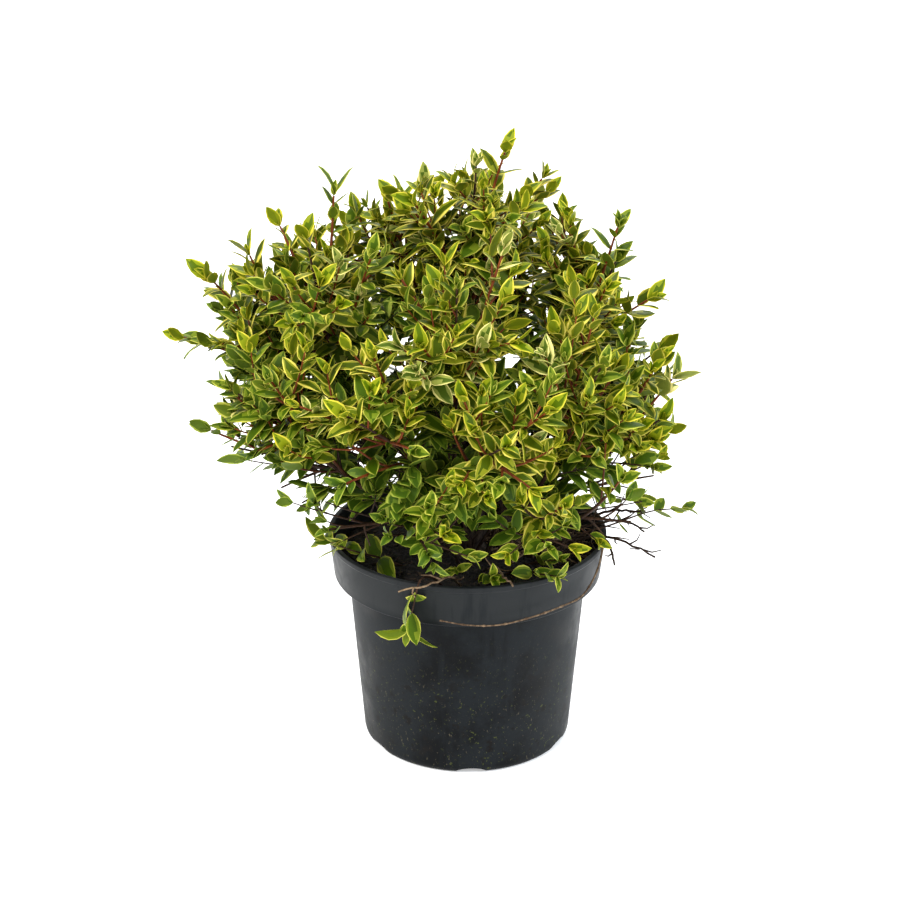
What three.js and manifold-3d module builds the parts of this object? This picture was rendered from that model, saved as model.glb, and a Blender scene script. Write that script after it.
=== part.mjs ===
// A glossy abelia with variegated leaves: a young, many-stemmed shrub in a black nursery pot.
// Millimetres, +Z up. The origin is the middle of the pot's flat underside, and -Y is its front,
// the side that the low sprays hang over. Every cane fans out from one short stool in the compost,
// and each mass of foliage keeps to its own cone of space, seen from the heart of that stool.
import * as THREE from "three";
import { mergeVertices } from "three/addons/utils/BufferGeometryUtils.js";
import Module from "manifold-3d";

const wasm = await Module();
wasm.setup();

// Pot: a moulded 5 litre container
const POT_HEIGHT = 182;
const RIM_RADIUS = 115; // outside of the rim's bead
const BEAD_HEIGHT = 5;
const BEAD_STANDS_OUT = 1;
const BAND_HEIGHT = 36; // the collar from the rim down to the step
const BAND_FOOT_RADIUS = 110.5;
const BAND_INSIDE_RADIUS = 107.1; // at the same height
const MOUTH_RADIUS = 111; // inside of the rim
const STEP_DROP = 3; // the step under the collar slopes this much
const WALL_TOP_RADIUS = 98.6;
const WALL_FOOT_RADIUS = 87.5;
const BASE_RADIUS = 80; // flat underside, inside the rounded corner
const CORNER_HEIGHT = 7;
const CORNER_KNEE = { radius: 85.3, height: 2.4 }; // halfway round that corner
const WALL_THICK = 2.4;
const CHANNEL_COUNT = 6; // drain channels across the underside
const CHANNEL_WIDE = 26;
const CHANNEL_DEEP = 5;
const CHANNEL_STARTS = 34; // from the middle, which stays a flat pad
const CHANNEL_ENDS = 100; // clear of the wall
const CHANNEL_FIRST_AZIMUTH = -88;
const DRAIN_HOLE_RADIUS = 6;
const DRAIN_HOLE_FROM_AXIS = 66;
const DRAIN_HOLE_SIDES = 8;
const POT_SIDES = 32;

// Compost, and the stool that all canes rise from
const COMPOST_TOP = 163;
const COMPOST_FLAT_RADIUS = 30;
const COMPOST_EDGE = 159; // height where it meets the collar
const COMPOST_EDGE_RADIUS = 106.9;
const COMPOST_STEP_RADIUS = 106.5; // above the step in the wall
const COMPOST_STEP_RISE = 4.5;
const COMPOST_FOOT_RADIUS = 83.7;
const STOOL_FOOT_RADIUS = 25; // across the root flare
const STOOL_NECK_RADIUS = 12;
const STOOL_HEAD_RADIUS = 15;
const STOOL_SIDES = 16;
const FLARE_CURVE = 2.2; // 1 is a straight cone
const FLARE_STEPS = 4;
const HEAD_STEPS = 6;
const HEART = new THREE.Vector3(0, 0, 180); // the middle of the stool's head

// Crown: how far it reaches from the heart, every 15 degrees from level to upright
const REACH_EVERY = 15;
const REACH_RIGHT = [120, 172, 192, 232, 248, 302, 322];
const REACH_LEFT = [100, 155, 255, 292, 300, 296, 322];
// Long shoots that stand out of it, by the way to their tips and how far these are
const LEADERS = [
  { azimuth: 0, elevation: 85, far: 338 },
  { azimuth: 8, elevation: 73, far: 290 },
  { azimuth: 356, elevation: 66, far: 304 },
  { azimuth: 3, elevation: 54, far: 262 },
  { azimuth: 358, elevation: 39.5, far: 231 },
  { azimuth: 5, elevation: 26.5, far: 202 },
  { azimuth: 180, elevation: 79, far: 306 },
  { azimuth: 186, elevation: 70, far: 324 },
  { azimuth: 176, elevation: 60, far: 315 },
  { azimuth: 183, elevation: 47.5, far: 318 },
  { azimuth: 178, elevation: 36, far: 300 },
  { azimuth: 184, elevation: 24.5, far: 246 },
  { azimuth: 176, elevation: 17.5, far: 210 },
];

// Canes, and the three masses of foliage on each
const CANE_COUNT = 9;
const CANE_STEEPEST = 0.97; // sine of the first cane's elevation
const CANE_FLATTEST = 0.4; // and of the last one's
const CANE_FIRST_AZIMUTH = 122;
const GOLDEN_ANGLE = 137.508;
const CANE_FOOT_RADIUS = 3.6;
const CANE_TIP_RADIUS = 2.2;
const CANE_SHARE = 0.42; // of the way from the heart to the crown's surface
const CANE_ARCH = 0.09; // how far it bows up, by its length
const CANE_SIDES = 6;
const CANE_STEPS = 4;
const MASS_SPREAD = 16; // degrees between a cane and each of its masses, before they even out
const EVEN_ROUNDS = 60;
const EVEN_PUSH = 0.0003; // between masses, by the sixth power of how close they are
const EVEN_POWER = 6;
const EVEN_MOST = 0.05;
const MASS_LOWEST = 18; // degrees above level
// By the side of their cane, seen from the heart: where they leave it, by its length
const MASS_PLACES = [
  { name: "upper", turn: 90, share: 1 },
  { name: "left", turn: 330, share: 0.84 },
  { name: "right", turn: 210, share: 0.68 },
];

// Shoots and leaves
const STEM_BARE = 0.2; // of its length, from its cane
const LEADER_BARE = 0.55; // of a long shoot's
const STEM_RADIUS = 1.8;
const STEM_STEPS = 2;
const STEM_OVER = 0.08; // of its reach at most, that a mass's stem grows past the crown
const STEM_BEND = { place: 0.4, bow: 0.1 }; // by its length
const SHOOT_RADIUS = 1.3;
const TIP_RADIUS = 0;
const SHOOT_PAIRS = 2; // of side shoots on a mass's stem, each pair turned a right angle
const SHOOT_TURN = 20; // degrees that a side shoot's turn varies over
const SHOOT_SPREAD = 16; // degrees at most, from a mass's middle to its side shoots' tips
const SHOOT_SPREAD_LEAST = 3;
const SHOOT_NARROWS = 0.9; // its spread at each try, until its tip keeps to its own space
const SHOOT_REACH = { least: 0.94, varies: 0.1 }; // of the crown's
const SHOOT_PLACES = { first: 0.34, next: 0.24, stagger: 0.05 }; // along the stem
const LEADER_PLACE = 0.5;
const TIP_MARGIN = 13; // of those tips, from the walls of their space
const LEAF_LONG = 44;
const LEAF_SIZES = { least: 0.88, varies: 0.24 }; // of that length
const LEAF_TURN = 24; // degrees that a leaf's turn varies over
const LEAF_FACES_UP = 0.7; // 0 faces along its shoot
const TIP_LEAF_SHARE = 0.8; // of a leaf's length
const TIP_LEAF_ANGLE = 12;
const LEAF_WIDE = 25;
const LEAF_WIDEST = 0.44; // of its length
const LEAF_FOLD = 2.6; // its midrib stands this high over its edges
const LEAF_ANGLES = [58, 42, 26]; // to its shoot: the first that stays in its own space
const NODE_GAP = 32; // between pairs of leaves
const BLADE_FROM = 0.2; // of a leaf's length: nearer its root it may meet its twig
const TIP_INSET = 2; // of the last leaf's root from the end of its shoot
const LEAFY_FROM = 0.52; // of the reach: the inside of the crown is bare
const TIP_SPACE = 24; // from a shoot's tip to the crown's surface
const GAP = 0.35; // between limbs that touch
const CELL_MARGIN = 0.8; // of foliage, from the walls of its space
const ABOVE = 9; // that a cut runs on past the rim

// Low growth, under a cone of this slope over the pot: sprays, and dead wood
const LOW_SLOPE = 0.14;
const LOW_STEM_RADIUS = 1.3;
const LOW_STEPS = 6;
const LOW_SPACING = { gap: 19, long: 32, bare: 20 }; // between pairs, of a leaf, and without leaves
const CLEAR_OF_RIM = 0.8;
const DEAD_STEM_RADIUS = 1.1;
const DEAD_TIP_RADIUS = 0.8;
const DEAD_TWIG_PLACES = { first: 0.35, span: 0.6 };
const DEAD_TWIG_ANGLE = { least: 38, varies: 24 };
const DEAD_TWIG_TURN = 50;
const DEAD_TWIG_LONG = { least: 14, varies: 22 };

const DEG = Math.PI / 180;
const NEARLY_UPRIGHT = 0.05;
const UP = new THREE.Vector3(0, 0, 1);

// Repeatable random numbers from 0 to 1, a run of its own for each seed
function dice(seed) {
  let state = seed >>> 0;
  return () => {
    state = (state + 0x6d2b79f5) >>> 0;
    let t = Math.imul(state ^ (state >>> 15), state | 1);
    t ^= t + Math.imul(t ^ (t >>> 7), t | 61);
    return ((t ^ (t >>> 14)) >>> 0) / 4294967296;
  };
}

const varied = ({ least, varies }, roll) => least + varies * roll();

function bearing(azimuth, elevation) {
  const level = Math.cos(elevation * DEG);
  const way = new THREE.Vector3(Math.cos(azimuth * DEG), Math.sin(azimuth * DEG), 0);
  return way.multiplyScalar(level).setZ(Math.sin(elevation * DEG));
}

// Two directions square to `way` and to each other: one level, one rising
function acrossFrom(way) {
  const level = new THREE.Vector3().crossVectors(UP, way);
  if (level.length() < NEARLY_UPRIGHT) level.set(1, 0, 0);
  level.normalize();
  const rise = new THREE.Vector3().crossVectors(way, level).normalize();
  return [level, rise];
}

// The direction `angle` degrees away from `way`, on the side that `turn` gives
function tilted(way, angle, turn) {
  const [level, rise] = acrossFrom(way);
  return way
    .clone()
    .multiplyScalar(Math.cos(angle * DEG))
    .addScaledVector(level, Math.sin(angle * DEG) * Math.cos(turn * DEG))
    .addScaledVector(rise, Math.sin(angle * DEG) * Math.sin(turn * DEG));
}

// How far the foliage reaches from the heart in a direction
function reach(way) {
  const place = Math.max(0, Math.asin(Math.min(1, way.z)) / DEG / REACH_EVERY);
  const step = Math.min(Math.floor(place), REACH_RIGHT.length - 2);
  const right = THREE.MathUtils.lerp(REACH_RIGHT[step], REACH_RIGHT[step + 1], place - step);
  const left = THREE.MathUtils.lerp(REACH_LEFT[step], REACH_LEFT[step + 1], place - step);
  const side = way.x / Math.max(1e-6, Math.hypot(way.x, way.y));
  return THREE.MathUtils.lerp(left, right, (1 + side) / 2);
}

// Solids from three.js geometries
function solid(geometry) {
  geometry.deleteAttribute("normal");
  geometry.deleteAttribute("uv");
  const merged = mergeVertices(geometry, 1e-4);
  const corners = merged.index.array;
  const faces = [];
  for (let i = 0; i < corners.length; i += 3) {
    const [a, b, c] = corners.slice(i, i + 3);
    if (a !== b && b !== c && c !== a) faces.push(a, b, c);
  }
  const mesh = new wasm.Mesh({
    numProp: 3,
    vertProperties: new Float32Array(merged.attributes.position.array),
    triVerts: new Uint32Array(faces),
  });
  return new wasm.Manifold(mesh);
}

function turned(profile, sides) {
  const points = profile.map(([radius, height]) => new THREE.Vector2(radius, height));
  return solid(new THREE.LatheGeometry(points, sides).rotateX(90 * DEG));
}

// A tapering limb along a curve. `longer` carries its far end on by that much
function limb(path, footRadius, tipRadius, sides, steps, longer = 0) {
  const geometry = new THREE.CylinderGeometry(1, 1, 1, sides, steps);
  const frames = path.computeFrenetFrames(steps);
  const corner = geometry.attributes.position;
  for (let i = 0; i < corner.count; i++) {
    const step = Math.round((corner.getY(i) + 0.5) * steps);
    const radius = THREE.MathUtils.lerp(footRadius, tipRadius, step / steps);
    const place = path
      .getPointAt(step / steps)
      .addScaledVector(frames.normals[step], corner.getX(i) * radius)
      .addScaledVector(frames.binormals[step], -corner.getZ(i) * radius);
    if (step === steps) place.addScaledVector(frames.tangents[step], longer);
    corner.setXYZ(i, place.x, place.y, place.z);
  }
  return solid(geometry);
}

// A point on a limb of straight steps, and the way it runs there
function onLimb(path, steps, place) {
  const step = Math.min(Math.floor(place * steps), steps - 1);
  const from = path.getPointAt(step / steps);
  const to = path.getPointAt((step + 1) / steps);
  return [from.clone().lerp(to, place * steps - step), to.sub(from).normalize()];
}

// A leaf of four faces: a kite, widest short of its middle, whose midrib stands over its edges
function leafGeometry(root, along, face, long) {
  const across = new THREE.Vector3().crossVectors(face, along);
  const geometry = new THREE.TetrahedronGeometry(1);
  const corner = geometry.attributes.position;
  for (let i = 0; i < corner.count; i++) {
    const onMidrib = corner.getZ(i) > 0;
    const ahead = onMidrib ? (corner.getX(i) > 0 ? 1 : 0) : LEAF_WIDEST;
    const aside = onMidrib ? 0 : (-Math.sign(corner.getX(i)) * LEAF_WIDE) / LEAF_LONG / 2;
    const over = onMidrib ? 0 : -LEAF_FOLD / LEAF_LONG;
    const place = root
      .clone()
      .addScaledVector(along, ahead * long)
      .addScaledVector(across, aside * long)
      .addScaledVector(face, over * long);
    corner.setXYZ(i, place.x, place.y, place.z);
  }
  return geometry;
}

function cornersOf(geometry) {
  const corner = geometry.attributes.position;
  return Array.from({ length: corner.count }, (_, i) => new THREE.Vector3().fromBufferAttribute(corner, i));
}

// Pairs of leaves along a shoot, each pair turned a right angle from the last, and one at its tip.
// A leaf is left out where `allowed` says that its corners leave their own space, and where it
// would touch what is in `busy`, the solids that are there already: it then joins them
function addLeaves(path, steps, roll, allowed, busy, { gap, long, bare }) {
  const length = path.getLength();
  const firstTurn = roll() * 90;
  const pairs = Math.floor((length - bare) / gap);
  for (let pair = pairs; pair >= 0; pair--) {
    const place = 1 - (pair * gap + TIP_INSET) / length;
    const [root, ahead] = onLimb(path, steps, place);
    const size = long * (pair === 0 ? TIP_LEAF_SHARE : 1) * varied(LEAF_SIZES, roll);
    for (const half of pair === 0 ? [0] : [0, 180]) {
      const turn = firstTurn + 90 * pair + half + LEAF_TURN * (roll() - 0.5);
      for (const angle of pair === 0 ? [TIP_LEAF_ANGLE] : LEAF_ANGLES) {
        const along = tilted(ahead, angle, turn);
        const face = ahead.clone().addScaledVector(UP, LEAF_FACES_UP);
        face.addScaledVector(along, -face.dot(along)).normalize();
        const geometry = leafGeometry(root, along, face, size);
        if (!allowed(cornersOf(geometry), root)) continue;
        const bladeRoot = root.clone().addScaledVector(along, BLADE_FROM * size);
        const blade = solid(leafGeometry(bladeRoot, along, face, (1 - BLADE_FROM) * size));
        if (busy.some((other) => !other.intersect(blade).isEmpty())) continue;
        busy.push(solid(geometry));
        break;
      }
    }
  }
}

// Joins twigs and leaves, cuts them clear of what carries them and drops loose scraps
function fused(pieces, carrier) {
  const whole = wasm.Manifold.union(pieces).subtract(carrier);
  return whole.decompose().sort((a, b) => b.volume() - a.volume())[0];
}

// Pot
const bandFoot = POT_HEIGHT - BAND_HEIGHT;
const bead = RIM_RADIUS - BEAD_STANDS_OUT;
const outside = [
  [BASE_RADIUS, 0],
  [CORNER_KNEE.radius, CORNER_KNEE.height],
  [WALL_FOOT_RADIUS, CORNER_HEIGHT],
  [WALL_TOP_RADIUS, bandFoot - STEP_DROP],
  [BAND_FOOT_RADIUS, bandFoot],
  [bead, POT_HEIGHT - BEAD_HEIGHT],
  [RIM_RADIUS, POT_HEIGHT - BEAD_HEIGHT + 1],
  [RIM_RADIUS, POT_HEIGHT - 1],
  [RIM_RADIUS - 1, POT_HEIGHT],
];
const inside = [
  [BASE_RADIUS - 1, WALL_THICK],
  [WALL_FOOT_RADIUS - WALL_THICK, CORNER_HEIGHT + 1],
  [WALL_TOP_RADIUS - WALL_THICK, bandFoot - 1],
  [BAND_INSIDE_RADIUS, bandFoot + STEP_DROP],
  [MOUTH_RADIUS, POT_HEIGHT],
];

// The drain channels, `grown` larger all round
function channels(grown) {
  const long = CHANNEL_ENDS - CHANNEL_STARTS + 2 * grown;
  const boxes = [];
  for (let i = 0; i < CHANNEL_COUNT; i++) {
    const box = new THREE.BoxGeometry(long, CHANNEL_WIDE + 2 * grown, 2 * (CHANNEL_DEEP + grown));
    box.translate(CHANNEL_STARTS - grown + long / 2, 0, 0);
    box.rotateZ((CHANNEL_FIRST_AZIMUTH + (i * 360) / CHANNEL_COUNT) * DEG);
    boxes.push(solid(box));
  }
  return wasm.Manifold.union(boxes);
}

function drainHoles() {
  const holes = [];
  for (let i = 0; i < CHANNEL_COUNT; i++) {
    const radius = DRAIN_HOLE_RADIUS;
    const hole = new THREE.CylinderGeometry(radius, radius, 2 * BAND_HEIGHT, DRAIN_HOLE_SIDES);
    hole.rotateX(90 * DEG).translate(DRAIN_HOLE_FROM_AXIS, 0, 0);
    hole.rotateZ((CHANNEL_FIRST_AZIMUTH + (i * 360) / CHANNEL_COUNT) * DEG);
    holes.push(solid(hole));
  }
  return wasm.Manifold.union(holes);
}

const filledPot = turned([[0, 0], ...outside, [0, POT_HEIGHT]], POT_SIDES);
const above = POT_HEIGHT + ABOVE;
const potInside = turned([[0, WALL_THICK], ...inside, [MOUTH_RADIUS, above], [0, above]], POT_SIDES);
const channelRoof = channels(WALL_THICK);
const potSolid = filledPot
  .subtract(channels(0))
  .subtract(potInside.subtract(channelRoof))
  .subtract(drainHoles());

// Compost: fills the pot to a shallow mound, on the roofs of the channels
const compostFoot = CHANNEL_DEEP + WALL_THICK + GAP;
const compostSolid = turned(
  [
    [0, compostFoot],
    [COMPOST_FOOT_RADIUS, compostFoot],
    [WALL_TOP_RADIUS - WALL_THICK - GAP, bandFoot - 1],
    [COMPOST_STEP_RADIUS, bandFoot + COMPOST_STEP_RISE],
    [COMPOST_EDGE_RADIUS, COMPOST_EDGE],
    [COMPOST_FLAT_RADIUS, COMPOST_TOP],
    [0, COMPOST_TOP],
  ],
  POT_SIDES,
);

// Stool: a flared foot on the compost, a neck, and a round head that the canes sit on
function stoolProfile(grown) {
  const foot = COMPOST_TOP + GAP;
  const neck = HEART.z - Math.sqrt(STOOL_HEAD_RADIUS ** 2 - STOOL_NECK_RADIUS ** 2);
  const flare = Array.from({ length: FLARE_STEPS }, (_, i) => {
    const up = i / FLARE_STEPS;
    const flared = (STOOL_FOOT_RADIUS - STOOL_NECK_RADIUS) * (1 - up) ** FLARE_CURVE;
    return [STOOL_NECK_RADIUS + flared + grown, THREE.MathUtils.lerp(foot, neck, up)];
  });
  const from = Math.asin((neck - HEART.z) / STOOL_HEAD_RADIUS);
  const head = Array.from({ length: HEAD_STEPS + 1 }, (_, i) => {
    const angle = THREE.MathUtils.lerp(from, Math.PI / 2, i / HEAD_STEPS);
    const radius = STOOL_HEAD_RADIUS + grown;
    return [i === HEAD_STEPS ? 0 : radius * Math.cos(angle), HEART.z + radius * Math.sin(angle)];
  });
  return [[0, foot], ...flare, ...head];
}
const stoolSolid = turned(stoolProfile(0), STOOL_SIDES);

// Masses of foliage: three round each cane's way, the canes from steep to flat, and then evened
// out, as shoots that grow to the light are: each mass is pushed off by the others
const masses = Array.from({ length: CANE_COUNT }, (_, i) => {
  const height = THREE.MathUtils.lerp(CANE_STEEPEST, CANE_FLATTEST, i / (CANE_COUNT - 1));
  const way = bearing(CANE_FIRST_AZIMUTH + i * GOLDEN_ANGLE, Math.asin(height) / DEG);
  return MASS_PLACES.map(({ name, turn, share }, j) => ({
    name: `foliage_${i + 1}_${name}`,
    seed: 100 * (i + 1) + j,
    cane: i,
    share,
    way: tilted(way, MASS_SPREAD, turn),
  }));
}).flat();
for (let round = 0; round < EVEN_ROUNDS; round++) {
  const pushes = masses.map(({ way }) => {
    const push = new THREE.Vector3();
    for (const other of masses) {
      const off = way.clone().sub(other.way);
      if (off.length() > 0) push.addScaledVector(off, EVEN_PUSH / off.length() ** EVEN_POWER);
    }
    return push;
  });
  masses.forEach(({ way }, i) => {
    way.add(pushes[i].clampLength(0, EVEN_MOST)).normalize();
    const level = Math.hypot(way.x, way.y);
    if (way.z >= Math.sin(MASS_LOWEST * DEG)) return;
    way.multiplyScalar(Math.cos(MASS_LOWEST * DEG) / level).setZ(Math.sin(MASS_LOWEST * DEG));
  });
}

// Canes: each runs to the middle of its three masses
const canes = Array.from({ length: CANE_COUNT }, (_, i) => {
  const way = new THREE.Vector3();
  for (const mass of masses) if (mass.cane === i) way.add(mass.way);
  way.normalize();
  const far = CANE_SHARE * reach(way);
  const foot = HEART.clone().addScaledVector(way, STOOL_HEAD_RADIUS + GAP);
  const tip = HEART.clone().addScaledVector(way, far);
  const bow = foot.clone().lerp(tip, 0.5).addScaledVector(UP, CANE_ARCH * far * (1 - way.z));
  return new THREE.QuadraticBezierCurve3(foot, bow, tip);
});
const thick = (path) => limb(path, CANE_FOOT_RADIUS + GAP, CANE_TIP_RADIUS + GAP, CANE_SIDES, CANE_STEPS, GAP);
const wood = wasm.Manifold.union([turned(stoolProfile(GAP), STOOL_SIDES), ...canes.map(thick)]);
for (const mass of masses) mass.root = canes[mass.cane].getPointAt(mass.share);
for (const leader of LEADERS) {
  const way = bearing(leader.azimuth, leader.elevation);
  const nearest = masses.reduce((best, mass) => (mass.way.dot(way) > best.way.dot(way) ? mass : best));
  (nearest.leaders ??= []).push({ way, far: leader.far });
}

// Whether a point lies in a mass's own cone of space, `margin` inside its walls
function inCell(mass, point, margin) {
  const from = point.clone().sub(HEART);
  if (from.z < LOW_SLOPE * Math.hypot(from.x, from.y) + margin) return false;
  return masses.every((other) => {
    if (other === mass) return true;
    const wall = mass.way.clone().sub(other.way);
    return from.dot(wall) > margin * wall.length();
  });
}

function growMass(mass) {
  const roll = dice(mass.seed);
  const tipAt = (way, far) => HEART.clone().addScaledVector(way, far - TIP_SPACE);
  const ends = tipAt(mass.way, reach(mass.way) * (1 + STEM_OVER * roll()));
  const bend = mass.root.clone().lerp(ends, STEM_BEND.place);
  bend.addScaledVector(mass.way, STEM_BEND.bow * mass.root.distanceTo(ends));
  const stem = new THREE.QuadraticBezierCurve3(mass.root, bend, ends);
  const turn = roll() * 90;
  const shoots = [{ path: stem, radius: STEM_RADIUS, steps: STEM_STEPS, bare: STEM_BARE }];
  const sideTips = [];
  for (let pair = 0; pair < SHOOT_PAIRS; pair++) {
    for (const half of [0, 180]) {
      let spread = SHOOT_SPREAD;
      const side = turn + 90 * pair + half + SHOOT_TURN * (roll() - 0.5);
      const far = varied(SHOOT_REACH, roll);
      let way = tilted(mass.way, spread, side);
      while (spread > SHOOT_SPREAD_LEAST && !inCell(mass, tipAt(way, reach(way)), TIP_MARGIN)) {
        spread *= SHOOT_NARROWS;
        way = tilted(mass.way, spread, side);
      }
      const { first, next, stagger } = SHOOT_PLACES;
      const place = first + next * pair + (half === 0 ? 0 : stagger);
      sideTips.push({ place, tip: tipAt(way, reach(way) * far) });
    }
  }
  for (const leader of mass.leaders ?? []) {
    sideTips.push({ place: LEADER_PLACE, tip: tipAt(leader.way, leader.far), bare: LEADER_BARE });
  }
  for (const { place, tip, bare = 0 } of sideTips) {
    const [from] = onLimb(stem, STEM_STEPS, place);
    shoots.push({ path: new THREE.LineCurve3(from, tip), radius: SHOOT_RADIUS, steps: 1, bare });
  }
  const twigs = shoots.map(({ path, radius, steps }) => limb(path, radius, TIP_RADIUS, 3, steps));
  const allowed = (corners, root) =>
    root.distanceTo(HEART) > LEAFY_FROM * reach(mass.way) &&
    corners.every((corner) => inCell(mass, corner, CELL_MARGIN));
  const pieces = [wood, ...twigs];
  for (const { path, steps, bare } of shoots) {
    const spacing = { gap: NODE_GAP, long: LEAF_LONG, bare: bare * path.getLength() };
    addLeaves(path, steps, roll, allowed, pieces, spacing);
  }
  return fused(pieces.slice(1), wood);
}

// Low growth. Its paths go by azimuth, distance from the pot's axis and height
function lowPath(points) {
  const placeOf = ([azimuth, radius, height]) => bearing(azimuth, 0).multiplyScalar(radius).setZ(height);
  return new THREE.CatmullRomCurve3(points.map(placeOf));
}

const OVER_RIM = POT_HEIGHT + 3;
const IN_COMPOST = COMPOST_EDGE - 2;
const LOW_SPRAYS = [
  {
    name: "low_spray_left",
    seed: 11,
    wedge: [170, 232],
    paths: [
      [[221, 57, IN_COMPOST], [212, 74, 171], [189, 110, OVER_RIM + 3], [184, 146, 186]],
      [[216, 62, IN_COMPOST], [206, 84, 176], [202, 106, OVER_RIM + 2], [200, 128, 184]],
      [[200, 60, IN_COMPOST], [192, 80, 170], [180, 98, 178]],
    ],
  },
  {
    name: "low_spray_front_left",
    seed: 23,
    wedge: [236, 258],
    paths: [
      [[251, 66, IN_COMPOST], [247, 92, 178], [245, 115, OVER_RIM + 1], [244, 123, 166], [243, 124, 138]],
      [[246, 70, IN_COMPOST], [248, 90, 180], [251, 108, OVER_RIM + 6], [252, 127, 178], [252, 131, 160]],
    ],
  },
  {
    name: "low_spray_front",
    seed: 31,
    wedge: [260, 283],
    paths: [
      [[268, 46, IN_COMPOST], [267, 66, 176], [266, 92, 186]],
      [[276, 50, IN_COMPOST], [277, 72, 175], [277, 94, 184]],
    ],
  },
  {
    name: "low_spray_front_right",
    seed: 47,
    wedge: [285, 324],
    paths: [
      [[292, 46, IN_COMPOST], [295, 72, 176], [298, 98, 185]],
      [[304, 50, IN_COMPOST], [308, 74, 176], [311, 104, 186]],
    ],
  },
  {
    name: "low_spray_right",
    seed: 53,
    wedge: [0, 30],
    paths: [
      [[14, 60, IN_COMPOST], [10, 92, 178], [7, 118, OVER_RIM + 3], [4, 146, 193], [4, 172, 199]],
      [[20, 60, IN_COMPOST], [18, 90, 179], [18, 120, OVER_RIM + 4], [18, 150, 192]],
    ],
  },
];
const DEAD_TWIGS = [
  {
    name: "dead_twigs_right",
    seed: 61,
    paths: [
      [[344, 40, IN_COMPOST], [342, 70, 172], [343, 104, OVER_RIM], [347, 140, 188], [351, 168, 184]],
      [[330, 52, IN_COMPOST], [334, 74, 170], [338, 90, 178]],
    ],
    sides: 4,
  },
  {
    name: "dead_trailing_stem",
    seed: 67,
    paths: [
      [
        [357, 84, IN_COMPOST],
        [356, 98, 178],
        [355, 113, OVER_RIM - 1],
        [350, 118, 181],
        [338, 118, 166],
        [318, 118, 157],
        [298, 117.5, 152],
        [280, 117.5, 149],
        [261, 118, 151],
      ],
    ],
    sides: 0,
  },
];

// What low growth keeps clear of: the pot's whole width to its rim, and the compost
const lowCarrier = turned(
  [
    [0, 0],
    [RIM_RADIUS + CLEAR_OF_RIM, 0],
    [RIM_RADIUS + CLEAR_OF_RIM, POT_HEIGHT + GAP],
    [MOUTH_RADIUS - GAP, POT_HEIGHT + GAP],
    [COMPOST_STEP_RADIUS, COMPOST_EDGE + GAP],
    [COMPOST_FLAT_RADIUS, COMPOST_TOP + GAP],
    [0, COMPOST_TOP + GAP],
  ],
  POT_SIDES,
);
const underCone = ({ x, y, z }) => z - HEART.z < LOW_SLOPE * Math.hypot(x, y) - CELL_MARGIN;

function growLowSpray({ seed, wedge, paths }) {
  const roll = dice(seed);
  const allowed = (corners) =>
    corners.every((corner) => {
      const azimuth = (Math.atan2(corner.y, corner.x) / DEG + 360) % 360;
      return underCone(corner) && azimuth > wedge[0] && azimuth < wedge[1];
    });
  const stems = paths.map(lowPath);
  const twigs = stems.map((path) => limb(path, LOW_STEM_RADIUS, TIP_RADIUS, 3, LOW_STEPS));
  const pieces = [lowCarrier, ...twigs];
  for (const path of stems) addLeaves(path, LOW_STEPS, roll, allowed, pieces, LOW_SPACING);
  return fused(pieces.slice(1), lowCarrier);
}

// Dead wood: bare stems, with short crooked side twigs that end broken off
function growDead({ seed, paths, sides }) {
  const roll = dice(seed);
  const stems = paths.map(lowPath);
  const stepsOf = (path) => 2 * path.points.length - 2;
  const twigs = stems.map((path) => limb(path, DEAD_STEM_RADIUS, DEAD_TIP_RADIUS, 3, stepsOf(path)));
  for (const path of stems) {
    for (let i = 0; i < sides; i++) {
      const place = DEAD_TWIG_PLACES.first + (DEAD_TWIG_PLACES.span * (i + roll())) / sides;
      const [root, ahead] = onLimb(path, stepsOf(path), place);
      const angle = varied(DEAD_TWIG_ANGLE, roll);
      const along = tilted(ahead, angle, (i % 2) * 180 + DEAD_TWIG_TURN * (roll() - 0.5));
      const tip = root.clone().addScaledVector(along, varied(DEAD_TWIG_LONG, roll));
      if (underCone(tip)) twigs.push(limb(new THREE.LineCurve3(root, tip), DEAD_TIP_RADIUS, 0, 3, 1));
    }
  }
  return fused(twigs, lowCarrier);
}

// The model
const MATERIALS = {
  plastic: new THREE.MeshStandardMaterial({ color: 0x2a2f32, roughness: 0.5, metalness: 0 }),
  compost: new THREE.MeshStandardMaterial({ color: 0x2a1f17, roughness: 1, metalness: 0 }),
  bark: new THREE.MeshStandardMaterial({ color: 0x5b3a28, roughness: 0.8, metalness: 0 }),
  leaf: new THREE.MeshStandardMaterial({ color: 0x7f9a3c, roughness: 0.45, metalness: 0 }),
  deadWood: new THREE.MeshStandardMaterial({ color: 0x6e4c34, roughness: 0.85, metalness: 0 }),
};

function meshOf(name, whole, material) {
  const { vertProperties, triVerts } = whole.getMesh();
  const geometry = new THREE.BufferGeometry();
  geometry.setAttribute("position", new THREE.BufferAttribute(new Float32Array(vertProperties), 3));
  geometry.setIndex(new THREE.BufferAttribute(new Uint32Array(triVerts), 1));
  const mesh = new THREE.Mesh(geometry, material);
  mesh.name = name;
  return mesh;
}

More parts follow.
